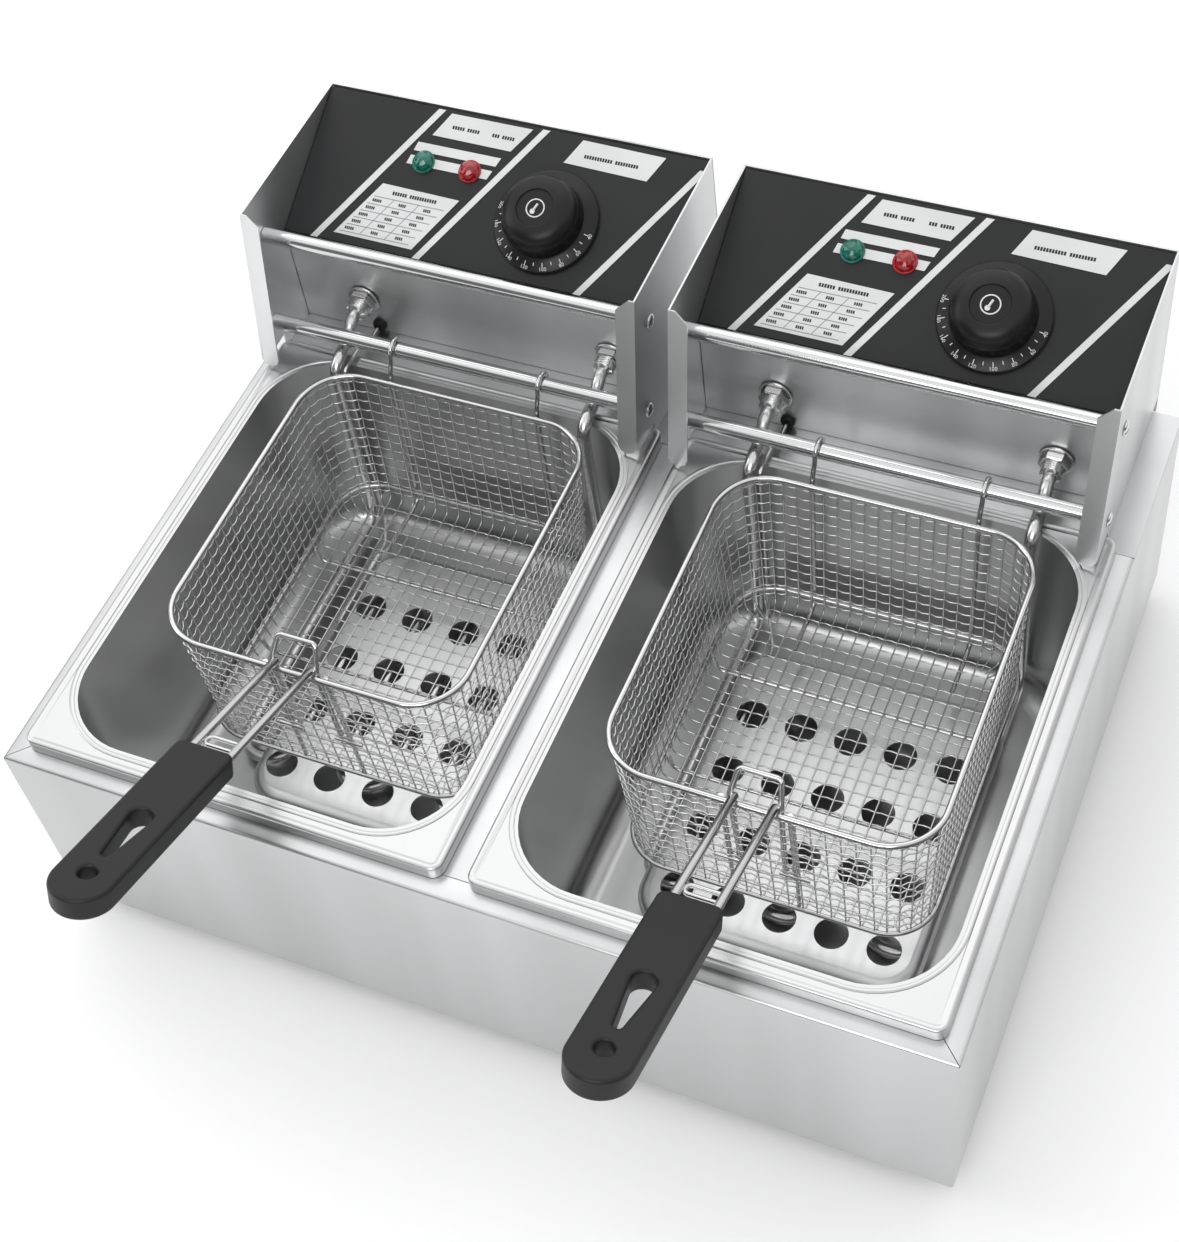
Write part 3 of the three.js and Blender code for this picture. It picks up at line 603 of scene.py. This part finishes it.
# ------------------------------------------------------------------ oil tank
def build_tank(side):
    origin = ORIGIN[side]
    low, high = box_mm(f"{side}_tank", origin)
    half_x, half_y = high.x, (high.y - low.y) / 2
    middle = (high.y + low.y) / 2
    top, floor = high.z, low.z
    side_lip, front_lip, rear_lip = 8.3, 10.5, 7.1
    flange_corner, mouth_corner = 7, 48
    mouth_half_x = half_x - side_lip
    mouth_front, mouth_rear = low.y + front_lip, high.y - rear_lip
    sheet, draft, step = 0.9, 3.0, 0.45

    def flange(inset, z):
        return rounded_outline(half_x - inset, half_y - inset, max(flange_corner - inset, 0.6), 0, middle), z

    def mouth(inset, z):
        return rounded_outline(mouth_half_x - inset, (mouth_rear - mouth_front) / 2 - inset,
                               mouth_corner - inset, 0, (mouth_rear + mouth_front) / 2), z

    def quarter(ring, centre_inset, centre_z, radius, start, sweep, steps=6):
        """Rings round a bend whose centre is (inset, z)."""
        for k in range(steps + 1):
            angle = math.radians(start + sweep * k / steps)
            yield ring(centre_inset - radius * math.cos(angle), centre_z + radius * math.sin(angle))

    skirt = 152.5  # the flange's turned-down edge ends here
    bend = 1.8
    floor_bend = 16.0
    outer_floor = [mouth(draft + floor_bend - 1 + 6, floor)]
    outer_floor += quarter(mouth, draft - sheet + floor_bend, floor + floor_bend, floor_bend, -90, 90)
    under = [mouth(-sheet - 0.4, top - 3.0), flange(sheet + 1.2, top - sheet - step),
             flange(sheet, top - 2.2), flange(sheet, skirt), flange(0, skirt)]
    rolled = list(quarter(flange, bend, top - bend, bend, 0, 90))
    ridge = [flange(3.4, top), flange(4.2, top - step), flange(5.2, top - step)]
    bead = [mouth(-3.4, top - step)]
    for k in range(7):
        angle = math.pi * k / 6
        bead.append(mouth(-1.7 - 1.5 * math.cos(angle), top - step + 0.55 * math.sin(angle)))
    lip = list(quarter(mouth, 1.8, top - step - 1.8, 1.8, 90, -90, 5))
    wall = list(quarter(mouth, draft + floor_bend - 1, floor + floor_bend, floor_bend - sheet, 0, -90, 8))
    wall.append(mouth(draft + floor_bend + 8, floor + sheet))
    tank = Shape().loft(outer_floor + under + rolled + ridge + bead + lip + wall)
    piece(f"{side}_tank_pan", tank, f"{side}_tank", "tank_steel", origin, (f"{side}_tank",), angle=30)


# ------------------------------------------------------------------ strainer plate
def build_strainer(side):
    origin = ORIGIN[side]
    low, high = box_mm(f"{side}_strainer_plate", origin)
    half_x, half_y = (high.x - low.x) / 2, (high.y - low.y) / 2
    centre_x, centre_y = (high.x + low.x) / 2, (high.y + low.y) / 2
    fold, sheet = 8.0, 0.9
    columns, pitch = (4, 33.5) if side == "left" else (5, 31.5)
    rows, row_pitch, last_row, hole = 4, 42.4, 15.5, 10.0

    def ring(inset, z):
        return rounded_outline(half_x - inset, half_y - inset, 24 - inset, centre_x, centre_y), z

    def bend(radius):
        for k in range(8):
            angle = math.pi / 2 * k / 7
            yield ring(fold - radius * math.cos(angle), high.z - fold + radius * math.sin(angle))

    rings = list(bend(fold - sheet))[::-1] + [ring(sheet, low.z), ring(0, low.z)] + list(bend(fold))
    holes = Shape()
    for row in range(rows):
        for column in range(columns):
            x = centre_x + (column - (columns - 1) / 2) * pitch
            y = last_row - row * row_pitch
            holes.prism(circle(hole, 40, x, y), low.z, high.z + 2)
    plate = piece(f"{side}_strainer_sheet", Shape().loft(rings), f"{side}_strainer", "plate_steel", origin,
                  (f"{side}_strainer_plate",), angle=30, cut=holes)
    weigh(plate)


# ------------------------------------------------------------------ heating element
def build_element(side):
    origin = ORIGIN[side]
    low, high = box_mm(f"{side}_heating_element", origin)
    radius = 4.0
    leg_x, axis_z = high.x - radius, low.z + radius
    port_z, lip_y, over_z, leg_bend = 179.0, 116, 167.6, 12
    front, rear, runs = low.y + radius, 40.0, 6
    pitch = 2 * leg_x / (runs - 1)

    def leg(x):
        return [(x, WALL_Y + 10, port_z), (x, WALL_Y - 18, port_z, leg_bend), (x, lip_y, over_z, leg_bend),
                (x, LEG_Y, over_z, leg_bend), (x, LEG_Y, axis_z)]

    corners = leg(-leg_x)
    for run in range(runs):
        x = -leg_x + run * pitch
        start, end = (rear, front) if run % 2 == 0 else (front, rear)
        if run > 0:
            corners.append((x, start, axis_z))
        if run < runs - 1:
            corners.append((x, end, axis_z))
    corners += leg(leg_x)[::-1]
    tube = Shape().tube(bent_path(corners, 0.46 * pitch, 8), radius, 16)
    piece(f"{side}_element_tube", tube, f"{side}_head", "element_steel", origin,
          (f"{side}_heating_element",), angle=60)

    # Wall nut: washer, chamfered hexagon and a ribbed collar, all turned about Y.
    face = WALL_Y - 0.3
    for label, x in (("left", -leg_x), ("right", leg_x)):
        turn = facing_front(x, face, port_z)
        nut = Shape()
        nut.lathe([(4.4, 0), (10.6, 0), (10.6, 0.9), (10.2, 1.2), (4.4, 1.2)], 40, turn)
        nut.loft([(circle(8.2, 6), 1.2), (circle(9.4, 6), 1.9), (circle(9.4, 6), 5.6), (circle(8.2, 6), 6.4)],
                 matrix=turn)
        ribs = [(6.9, 6.4), (6.9, 7.4)]
        for rib in range(3):
            z = 7.4 + 1.7 * rib
            ribs += [(6.0, z + 0.2), (6.0, z + 0.6), (6.6, z + 0.9), (6.6, z + 1.5)]
        nut.lathe(ribs + [(5.2, 12.9), (4.15, 13.6)], 40, turn)
        piece(f"{side}_element_fitting_{label}", nut, f"{side}_head", "fitting_steel", origin,
              (f"{side}_element_nut_{label}",), edge=0.2, angle=30)


def build_probe(side):
    origin = ORIGIN[side]
    low, _ = box_mm(f"{side}_sensor_probe", origin)
    bulb, wire, long = 3, 1.2, 62
    axis_z = low.z + bulb
    x, bulb_x, bulb_y, over_z = PROBE_X, -68.0, 67, 164.5
    path = bent_path([(x, WALL_Y + 5, PROBE_PORT_Z), (x, WALL_Y - 12, PROBE_PORT_Z), (x, 116.6, over_z),
                      (x, LEG_Y, over_z), (x, LEG_Y, axis_z, 8), (bulb_x, 75, axis_z, 8),
                      (bulb_x, 62, axis_z)], 4, 5)
    probe = Shape().tube(path, wire, 10)
    capsule = [(wire, 0), (2.2, 1.2), (bulb, 2.6), (bulb, long - 2), (2.2, long - 0.4), (0, long)]
    probe.lathe(capsule, 24, facing_front(bulb_x, bulb_y, axis_z))
    piece(f"{side}_probe_wire", probe, f"{side}_head", "element_steel", origin,
          (f"{side}_sensor_probe",), angle=40)


# ------------------------------------------------------------------ basket
def basket_frame(side):
    """The rim's centre line and the sizes that follow from it."""
    low, high = box_mm(f"{side}_basket_rim", ORIGIN[side])
    mesh_low, _ = box_mm(f"{side}_basket_mesh", ORIGIN[side])
    rim_wire = (high.z - low.z) / 2
    half_x = (high.x - low.x) / 2 - rim_wire
    half_y = (high.y - low.y) / 2 - rim_wire
    corner = 32.0
    return SimpleNamespace(
        half_x=half_x,
        half_y=half_y,
        corner=corner,
        core=(half_x - corner, half_y - corner),
        middle_y=(low.y + high.y) / 2,
        front=low.y + rim_wire,
        rear=high.y - rim_wire,
        rim_z=(high.z + low.z) / 2,
        rim_wire=rim_wire,
        floor_z=mesh_low.z + 0.6,
        taper=6.0,
        fold=5.0,
        pitch=8.3,
    )


def wall_inset(b, z):
    """How far the tapered wall has come in by a height."""
    return b.taper * (b.rim_z - z) / (b.rim_z - b.floor_z)


def basket_ring(b, inset, z, steps=12):
    """The basket's outline at a height, drawn in by an inset, as 3-D points."""
    outline = rounded_outline(b.half_x - inset, b.half_y - inset, b.corner - inset, 0, b.middle_y, steps)
    return [(x, y, z) for x, y in outline]


class Station:
    """An upright wire's place on the outline: a point on the inner oblong and a way out of it."""

    def __init__(self, b, wall, offset, turn=0.0):
        self.b = b
        square = wall * math.pi / 2
        ahead = Vector((math.cos(square), math.sin(square), 0))
        along = Vector((-math.sin(square), math.cos(square), 0))
        depth = b.core[wall % 2]
        self.core = ahead * depth + along * offset + Vector((0, b.middle_y, 0))
        self.angle = square + turn

    def out(self):
        return Vector((math.cos(self.angle), math.sin(self.angle), 0))

    def on_wall(self, z):
        """A knot: the wire's point on the wall at a height, and the way outward."""
        reach = self.b.corner - wall_inset(self.b, z)
        return self.core + self.out() * reach + Vector((0, 0, z)), self.out()

    def on_fold(self, angle):
        """A knot on the bend between wall and floor."""
        b = self.b
        foot = b.floor_z + b.fold
        reach = b.corner - wall_inset(b, foot) - b.fold * (1 - math.cos(angle))
        place = self.core + self.out() * reach + Vector((0, 0, foot - b.fold * math.sin(angle)))
        return place, self.out() * math.cos(angle) - Vector((0, 0, math.sin(angle)))


def leaning(knots, lean):
    """A plain wire through its knots, set to one side of the weave."""
    return [place + out * lean for place, out in knots]


def crimped(knots, depth, closed=False, steps=4):
    """A wavy wire: outside where it crosses each knot, and inside halfway to the next."""
    path = []
    following = knots[1:] + (knots[:1] if closed else [])
    for (start, out_start), (end, out_end) in zip(knots, following):
        for step in range(steps):
            share = step / steps
            out = out_start.lerp(out_end, share).normalized()
            path.append(start.lerp(end, share) + out * depth * math.cos(TAU * share))
    if not closed:
        path.append(knots[-1][0] + knots[-1][1] * depth)
    return path


def weave_shape(b):
    """Wavy rings outside straight uprights, which run on across the floor."""
    wire, crimp = 0.5, 0.45
    inside = crimp - 2 * wire
    top = b.rim_z - b.rim_wire
    foot = b.floor_z + b.fold
    counts = [round(2 * b.core[axis] / b.pitch) for axis in (0, 1)]
    pitches = [2 * b.core[axis] / counts[axis] for axis in (0, 1)]
    corner_wires = round(b.corner * math.pi / 2 / b.pitch)
    walls, corners, around = [], [], []
    for wall in range(4):
        axis = (wall + 1) % 2  # the way this wall runs: 1 for along Y
        half = b.core[axis]
        straight = [Station(b, wall, -half + k * pitches[axis]) for k in range(counts[axis] + 1)]
        corner = [Station(b, wall, half, math.pi / 2 * k / corner_wires) for k in range(1, corner_wires)]
        walls.append(straight)
        corners += corner
        around += straight + corner

    weave = Shape()
    for row in range(int((top - 2.5 - foot) / b.pitch) + 1):
        knots = [station.on_wall(top - 2.5 - row * b.pitch) for station in around]
        weave.tube(crimped(knots, crimp, closed=True), wire, 6, closed=True)

    def down(station):
        """An upright's knots from the rim to the floor's edge."""
        return [station.on_wall(top), station.on_wall(foot)] + [
            station.on_fold(math.pi / 2 * k / 4) for k in range(1, 5)
        ]

    flat = b.corner - b.taper - b.fold
    below = Vector((0, 0, -1))

    def across(axis, index):
        """Knots of one floor wire where it crosses the others."""
        offset = -b.core[1 - axis] + index * pitches[1 - axis]
        beyond = max(0.0, abs(offset) - b.core[1 - axis])
        if beyond >= flat:
            return []
        reach = b.core[axis] + math.sqrt(flat**2 - beyond**2)
        marks = [-b.core[axis] + n * pitches[axis] for n in range(-3, counts[axis] + 4)]
        marks = [mark for mark in marks if abs(mark) < reach]
        spots = [(mark, offset) if axis == 0 else (offset, mark) for mark in marks]
        return [(Vector((x, b.middle_y + y, b.floor_z)), below) for x, y in spots]

    for axis in (0, 1):
        first, second = (walls[2], walls[0]) if axis == 0 else (walls[3], walls[1])
        count = counts[1 - axis]
        for index in range(-2, count + 3):
            floor = across(axis, index)
            if len(floor) < 2:
                continue
            path = leaning(floor, inside) if axis else crimped(floor, crimp)
            if 0 <= index <= count:
                # Opposite walls are numbered opposite ways round.
                start = first[index] if axis else first[count - index]
                end = second[count - index] if axis else second[index]
                path = leaning(down(start), inside) + path + leaning(down(end)[::-1], inside)
            weave.tube(path, wire, 6)
    for station in corners:
        knots = down(station)
        knots.append((knots[-1][0] - station.out() * flat * 0.4, below))
        weave.tube(leaning(knots, inside), wire, 6)
    return weave


def build_basket(side):
    origin = ORIGIN[side]
    body, slot = f"{side}_basket", "basket_wire"
    b = basket_frame(side)
    low = b.floor_z
    piece(f"{side}_basket_weave", weave_shape(b), body, slot, origin, (f"{side}_basket_mesh",), angle=80)

    rim = Shape().tube(basket_ring(b, 0, b.rim_z, 16), b.rim_wire, 16, closed=True)
    piece(f"{side}_basket_rim_wire", rim, body, slot, origin, (f"{side}_basket_rim",), angle=80)

    ring_z = low + 9.0
    base = Shape()
    base.tube(basket_ring(b, b.taper - 2.2, ring_z), 1.5, 12, closed=True)
    for y in (28.5, -47.0):
        reach = b.half_x - b.taper - 2
        lift = ring_z
        base.tube(bent_path([(-reach, y, lift), (-reach + 1, y, low - 2.4), (reach - 1, y, low - 2.4),
                             (reach, y, lift)], 6, 6), 1.3, 12)
    piece(f"{side}_basket_base_wires", base, body, slot, origin, (f"{side}_basket_base_ring",), angle=80)

    hooks = Shape()
    rod_low, rod_high = box_mm(f"{side}_lower_rod", origin)
    rod_y, rod_z = (rod_low.y + rod_high.y) / 2, (rod_low.z + rod_high.z) / 2
    radius = (rod_high.z - rod_low.z) / 2 + 0.4 + 1.5
    wire_y = b.rear + b.rim_wire + 2.0
    for x in (-46, 54):
        path = []
        for k in range(13):
            angle = math.radians(-35 + 215 * k / 12)
            path.append((x, rod_y + radius * math.cos(angle), rod_z + radius * math.sin(angle)))
        path += [(x, rod_y - radius - 0.6, rod_z - 3), (x, wire_y + 2.4, b.rim_z + 7),
                 (x, wire_y + 0.4, b.rim_z + 2), (x, wire_y, b.rim_z - 3), (x, wire_y - 3.6, low + 4),
                 (x, wire_y - 5.2, low), (x, wire_y - 8.5, low - 2.2), (x, b.rear - 40, low - 2.4)]
        hooks.tube(path, 1.5, 12)
    piece(f"{side}_basket_hook_wires", hooks, body, slot, origin, (f"{side}_basket_hooks",), angle=80)

    # The bracket: two hairpins down the front wall, joined by a loop that leans in above the rim.
    mid, foot_z = -1.5, b.rim_z - 67

    def wall_y(z, gap=2.8):
        return b.front + wall_inset(b, z) + gap

    arm = [(19.5, wall_y(b.rim_z), b.rim_z - 1), (19.5, wall_y(foot_z), foot_z),
           (13, wall_y(foot_z), foot_z), (14.5, wall_y(b.rim_z), b.rim_z + 2.5),
           (12, wall_y(b.rim_z) + 10, b.rim_z + 16)]
    corners = [(mid - x, y, z) for x, y, z in arm] + [(mid + x, y, z) for x, y, z in arm[::-1]]
    bracket = Shape().tube(bent_path(corners, 3.1, 6), 1.7, 12)
    for x in (mid - 19.5, mid + 19.5):
        bracket.tube([(x, wall_y(foot_z), foot_z), (x, wall_y(ring_z, 2.2), ring_z - 3)], 1.2, 10)
        bracket.tube([(x - 9, wall_y(foot_z, 0.2), foot_z), (x + 9, wall_y(foot_z, 0.2), foot_z)], 1.1, 10)
    piece(f"{side}_basket_bracket_wire", bracket, body, slot, origin, (f"{side}_basket_bracket",), angle=80)


# ------------------------------------------------------------------ handle
def build_handle(side):
    origin = ORIGIN[side]
    body = f"{side}_basket"
    place = Matrix.Translation(HANDLE_START) @ HANDLE_SPIN
    spacing, grip_start = 23.0, 91.0
    rods = Shape()
    for x in (-spacing / 2, spacing / 2):
        rods.tube([(x, 0.4, -0.6), (x, 2, 0), (x, 60, 0), (x, grip_start + 28, 0)], 2.5, 16, matrix=place)
    inner = spacing / 2 - 2
    brace = bent_path([(-inner, 75, -1), (inner - 1, 75, -1), (inner - 1, 82, -1), (-inner, 82, -1)], 3.2, 6)
    rods.tube(brace, 1.4, 12, matrix=place)
    piece(f"{side}_handle_wires", rods, body, "basket_wire", origin, (f"{side}_handle_rods",), angle=50)

    length, width, thick, round_over = 133.0, 35.0, 14.0, 2.4
    half = width / 2

    def arc(x, y, radius, start, end, steps):
        for k in range(steps + 1):
            angle = math.radians(start + (end - start) * k / steps)
            yield x + radius * math.cos(angle), y + radius * math.sin(angle)

    outline = list(arc(half - 5, 5, 5, -90, 0, 6))
    outline += list(arc(0, length - half, half, 0, 180, 32))
    outline += list(arc(-half + 5, 5, 5, 180, 270, 6))
    window = list(arc(0, 64, 6.5, 176, 364, 20)) + list(arc(0, 95, 2.2, 8, 172, 8))
    hanger = circle(4.8, 36, 0, 111)
    data = bpy.data.curves.new("grip", "CURVE")
    data.dimensions = "2D"
    data.fill_mode = "BOTH"
    for points in (outline, window, hanger):
        spline = data.splines.new("POLY")
        spline.points.add(len(points) - 1)
        spline.use_cyclic_u = True
        for target, (x, y) in zip(spline.points, points):
            target.co = (x * MM, y * MM, 0, 1)
    data.extrude = (thick / 2 - round_over) * MM
    data.bevel_depth = round_over * MM
    data.bevel_resolution = 6
    data.offset = -round_over * MM
    mesh = welded(curve_mesh(data, f"{side}_grip"), 5e-6)
    mesh.transform(in_metres(place @ Matrix.Translation((0, grip_start, 0))))
    grip = piece(f"{side}_grip_moulding", mesh, body, "grip_plastic", origin,
                 (f"{side}_handle_grip",), angle=50)
    weigh(grip)


# ------------------------------------------------------------------ control head
def build_head(side):
    origin = ORIGIN[side]
    body = f"{side}_head"
    for node in ("head_shell", "head_left_cheek", "head_right_cheek", "head_back"):
        refined(f"{side}_{node}", body, "head_steel", 0.45)
    refined(f"{side}_control_panel", body, "panel_black", 0.35)
    refined(f"{side}_thermostat", body, "grey_plastic", 1.2)

    for label in ("upper_rod", "lower_rod"):
        low, high = box_mm(f"{side}_{label}", origin)
        y, z, radius = (low.y + high.y) / 2, (low.z + high.z) / 2, (high.z - low.z) / 2
        bar = Shape().tube([(x, y, z) for x in (low.x, low.x + 40, high.x - 40, high.x)], radius, 32)
        piece(f"{side}_{label}_bar", bar, body, "rod_steel", origin, (f"{side}_{label}",), angle=50)
        for edge, cheek in ((-1, "left"), (1, "right")):
            cheek_low, cheek_high = box_mm(f"{side}_head_{cheek}_cheek", origin)
            face = cheek_low.x if edge < 0 else cheek_high.x
            turn = Matrix.Translation((face, y, z)) @ Matrix.Rotation(math.radians(90 * edge), 4, "Y")
            dome = [(0, 0.1), (4.3, 0.1), (4.5, 0.5), (4.2, 1.2), (3.2, 1.8), (1.6, 2.1), (0, 2.15)]
            screw = Shape().lathe(dome, 32, turn)
            slot = Shape().block((-0.55, -5, 1.1), (0.55, 5, 4), turn)
            piece(f"{side}_{label}_screw_{cheek}", screw, body, "fitting_steel", origin, angle=40, cut=slot)

    collar = [(1.4, -0.5), (4.2, -0.5), (4.6, 0.4), (4.4, 1.6), (3.4, 2.6), (2.2, 2.8), (1.4, 2.2)]
    grommet = Shape().lathe(collar, 32, facing_front(PROBE_X, WALL_Y, PROBE_PORT_Z))
    piece(f"{side}_capillary_grommet", grommet, body, "rubber", origin)

    low, high = box_mm(f"{side}_cord_gland", origin)
    centre = (low + high) / 2
    turn = Matrix.Translation((centre.x, low.y, centre.z)) @ Matrix.Rotation(math.radians(-90), 4, "X")
    profile = [(3.2, 4), (0, 4), (0, 0), (8.6, 0), (9, 0.4), (9, 2.6), (8.6, 3), (6.6, 3.4)]
    for rib in range(4):
        z = 4.4 + 2.3 * rib
        profile += [(6.3 - 0.15 * rib, z), (6.3 - 0.15 * rib, z + 1.2), (5.4, z + 1.5), (5.4, z + 2.0)]
    profile += [(5.3, 13.6), (4.9, 14), (3.4, 14), (3.2, 13.7)]
    gland = Shape().loft([(circle(max(r, 0.01), 40), z) for r, z in profile], closed=True, matrix=turn)
    piece(f"{side}_cord_gland_moulding", gland, body, "rubber", origin, (f"{side}_cord_gland",), angle=40)


def panel_place(x=0.0, along=0.0):
    """A point on the control panel's face: x from the unit's middle, and along the slope."""
    return Matrix.Translation(PANEL_FRONT) @ PANEL_SPIN @ Matrix.Translation((x - HEAD_X, along, 0))


def up_slope(y):
    """Distance along the panel for a depth in the unit's frame."""
    return (y - PANEL_FRONT.y) / math.cos(PANEL_SLOPE)


OVERPRINT = 0.07  # how far dark print lies above the white print under it


def print_patch(shape, corners, lift=0.0):
    """A printed patch given by its corners: x and depth in the unit's frame."""
    outline = [(x, up_slope(y)) for x, y in corners]
    if sum(a[0] * b[1] - b[0] * a[1] for a, b in zip(outline, outline[1:] + outline[:1])) < 0:
        outline.reverse()
    shape.prism(outline, 0.03 + lift, 0.09 + lift, panel_place())


def mock_words(shape, x, y, pattern, letter=1.25, height=2.0):
    """A row of small blocks in place of lettering: one for each mark in the pattern."""
    for place, mark in enumerate(pattern):
        if mark == "x":
            left = x + place * letter * 1.35
            right, top = left + letter, y + height
            print_patch(shape, [(left, y), (right, y), (right, top), (left, top)], OVERPRINT)


def build_panel_print(side):
    origin = ORIGIN[side]
    body = f"{side}_head"
    white = Shape()
    half_line = 2.4  # along X
    slant = 0.672  # how far the slanted edges go along X for each step to the rear
    front = 146.3
    for x, rear in ((-110.6, 231.8), (-40.0, 231.8), (67.6, 226.5)):
        shift = slant * (rear - front)
        print_patch(white, [(x + shift - half_line, rear), (x + shift + half_line, rear),
                            (x + half_line, front), (x - half_line, front)])
    table_left, table_rear = -76.4, 184
    lamp_caption = [(-46.3, 230.6), (8.7, 230.6), (-1.2, 216), (-54.6, 216.4)]
    knob_caption = [(42.2, 230.3), (96.5, 229.5), (88.8, 214.8), (34.2, 215.9)]
    table = [(table_left, table_rear), (-23.6, 183.2), (-44.3, 150.8), (-98.4, 151.2)]
    for label in (lamp_caption, knob_caption, table):
        print_patch(white, label)

    def stripe_ends(y):
        """Where the two stripes under the lamps start and stop along X."""
        return -62.2 - 0.26 * (211.2 - y), -5.7 - 0.38 * (211.2 - y)

    for rear, fore in ((211.2, 206.0), (203.2, 197.9)):
        (rear_left, rear_right), (fore_left, fore_right) = stripe_ends(rear), stripe_ends(fore)
        print_patch(white, [(rear_left, rear), (rear_right, rear), (fore_right, fore), (fore_left, fore)])
    piece(f"{side}_panel_print_white", white, body, "panel_print", origin)

    dark = Shape()
    mock_words(dark, -43, 222.0, "xxxxx xxxxx")
    mock_words(dark, -16, 222.0, "xxx xxxxx")
    mock_words(dark, 46, 220.5, "xxxxxxxxxxx xxxxxxxxx")
    mock_words(dark, -68, 178.6, "xxxxxx xxxxxxxxxxx")
    rules = Shape()
    rows, row_depth, first = 5, 4.6, 176.2
    for row in range(rows + 1):
        y = first - row_depth * row
        left = table_left - slant * (table_rear - y)
        right = left + 52.6
        print_patch(rules, [(left + 2.5, y), (right - 2.5, y), (right - 2.8, y - 0.5), (left + 2.2, y - 0.5)],
                    OVERPRINT)
        if row < rows:
            for across, word in ((2, "xxxxx"), (20, "xxxx"), (37, "xxxx")):
                mock_words(dark, left + across, y - 3.4, word, 0.95, 1.7)
    drop = rows * row_depth
    for across in (16, 33):
        x = table_left + across - slant * (table_rear - first)
        print_patch(rules, [(x, first), (x + 0.6, first), (x + 0.6 - slant * drop, first - drop),
                            (x - slant * drop, first - drop)], OVERPRINT)
    piece(f"{side}_panel_print_words", dark, body, "panel_print", origin, material="panel_black")
    piece(f"{side}_panel_print_rules", rules, body, "panel_print", origin, material="grey_plastic")


# ------------------------------------------------------------------ knob and lamps
def build_knob(side):
    origin = ORIGIN[side]
    body = f"{side}_knob"
    place = panel_place(40 + HEAD_X, 40)
    cap = [(0, -16), (3, -16), (3, 0.5), (31.6, 0.5), (32.6, 0.7), (33, 1.2), (33, 2.2), (32.4, 2.9),
           (26.0, 5.2), (25.0, 6.0), (24.8, 7.0), (24.2, 14.6), (24.0, 15.3), (23.5, 16.0)]
    for k in range(1, 9):
        angle = math.radians(10 * k)
        cap.append((12.3 + 11.1 * math.cos(angle), 16.1 + 8.7 * math.sin(angle)))
    cap += [(12.3, 24.95), (11.9, 24.8), (11.7, 24.2), (11.4, 23.9), (0, 23.8)]
    piece(f"{side}_knob_moulding", Shape().lathe(cap, 96, place), body, "knob_plastic", origin,
          (f"{side}_knob",), angle=28)

    marks = Shape()
    marks.loft([(circle(5.9, 48), 23.85), (circle(5.9, 48), 24.0), (circle(5.15, 48), 24.0),
                (circle(5.15, 48), 23.85)], closed=True, matrix=place)
    # A small thermometer, the usual sign for temperature.
    marks.tube([(-0.9, -1.6, 23.9), (0.8, 2.8, 23.9)], 0.75, 12, matrix=place)
    marks.lathe([(0, 23.8), (1.6, 23.85), (1.6, 24.0), (0, 24.0)], 24,
                place @ Matrix.Translation((-1.2, -2.3, 0)))
    slope = math.atan2(5.2 - 2.9, 32.4 - 26.6)
    labels = []
    count = 17
    for k in range(count):
        angle = math.radians(-8 - 11.2 * k)
        spoke = place @ Matrix.Rotation(angle, 4, "Z")
        lay = spoke @ Matrix.Translation((27.4, 0, 4.9)) @ Matrix.Rotation(slope, 4, "Y")
        marks.block((0, -0.26, 0), (2.0 if k % 2 else 2.6, 0.26, 0.12), lay)
        if k % 2 == 0:
            labels.append((str(40 + 10 * k), spoke @ Matrix.Translation((31.0, 0, 3.5))
                           @ Matrix.Rotation(slope, 4, "Y") @ Matrix.Rotation(math.pi / 2, 4, "Z")))
    piece(f"{side}_knob_marks", marks, body, "panel_print", origin)
    for label, lay in labels:
        text = bpy.data.curves.new(f"{side}_dial_{label}", "FONT")
        text.body = label
        text.size = 3.3 * MM
        text.align_x = "CENTER"
        text.align_y = "CENTER"
        text.extrude = 0.03 * MM
        text.resolution_u = 2
        mesh = curve_mesh(text, f"{side}_dial_{label}")
        mesh.transform(in_metres(lay))
        piece(f"{side}_dial_number_{label}", mesh, body, "panel_print", origin)


def build_lamps(side):
    origin = ORIGIN[side]
    facets = 12
    for colour, x in (("green", -50.0), ("red", -18.5)):
        place = panel_place(x + HEAD_X, 61)
        jewel = Shape()
        rings = []
        for radius, z, offset in ((5, -12, 0), (5, 0.3, 0), (6.5, 0.3, 0), (6.5, 1.5, 0), (5.9, 3.4, 0.5),
                                  (4.3, 5.0, 0), (2.2, 6.1, 0.5), (0.01, 6.6, 0)):
            angles = [TAU * (k + offset) / facets for k in range(facets)]
            rings.append([(radius * math.cos(angle), radius * math.sin(angle), z) for angle in angles])
        jewel.loft(rings, matrix=place)
        piece(f"{side}_lamp_{colour}_jewel", jewel, f"{side}_head", f"lens_{colour}", origin,
              (f"{side}_lamp_{colour}",), edge=0.25, angle=5)
        collar = Shape().lathe([(6.3, 0.05), (7.4, 0.05), (7.4, 0.7), (7.0, 1.0), (6.3, 1.0)], 40, place)
        piece(f"{side}_lamp_{colour}_collar", collar, f"{side}_head", f"lens_{colour}", origin)


# ------------------------------------------------------------------ whole object
build_camera()
build_stage()
build_light()
build_cabinet()
for side in SIDES:
    build_tank(side)
    build_strainer(side)
    build_element(side)
    build_probe(side)
    build_basket(side)
    build_handle(side)
    build_head(side)
    build_panel_print(side)
    build_knob(side)
    build_lamps(side)
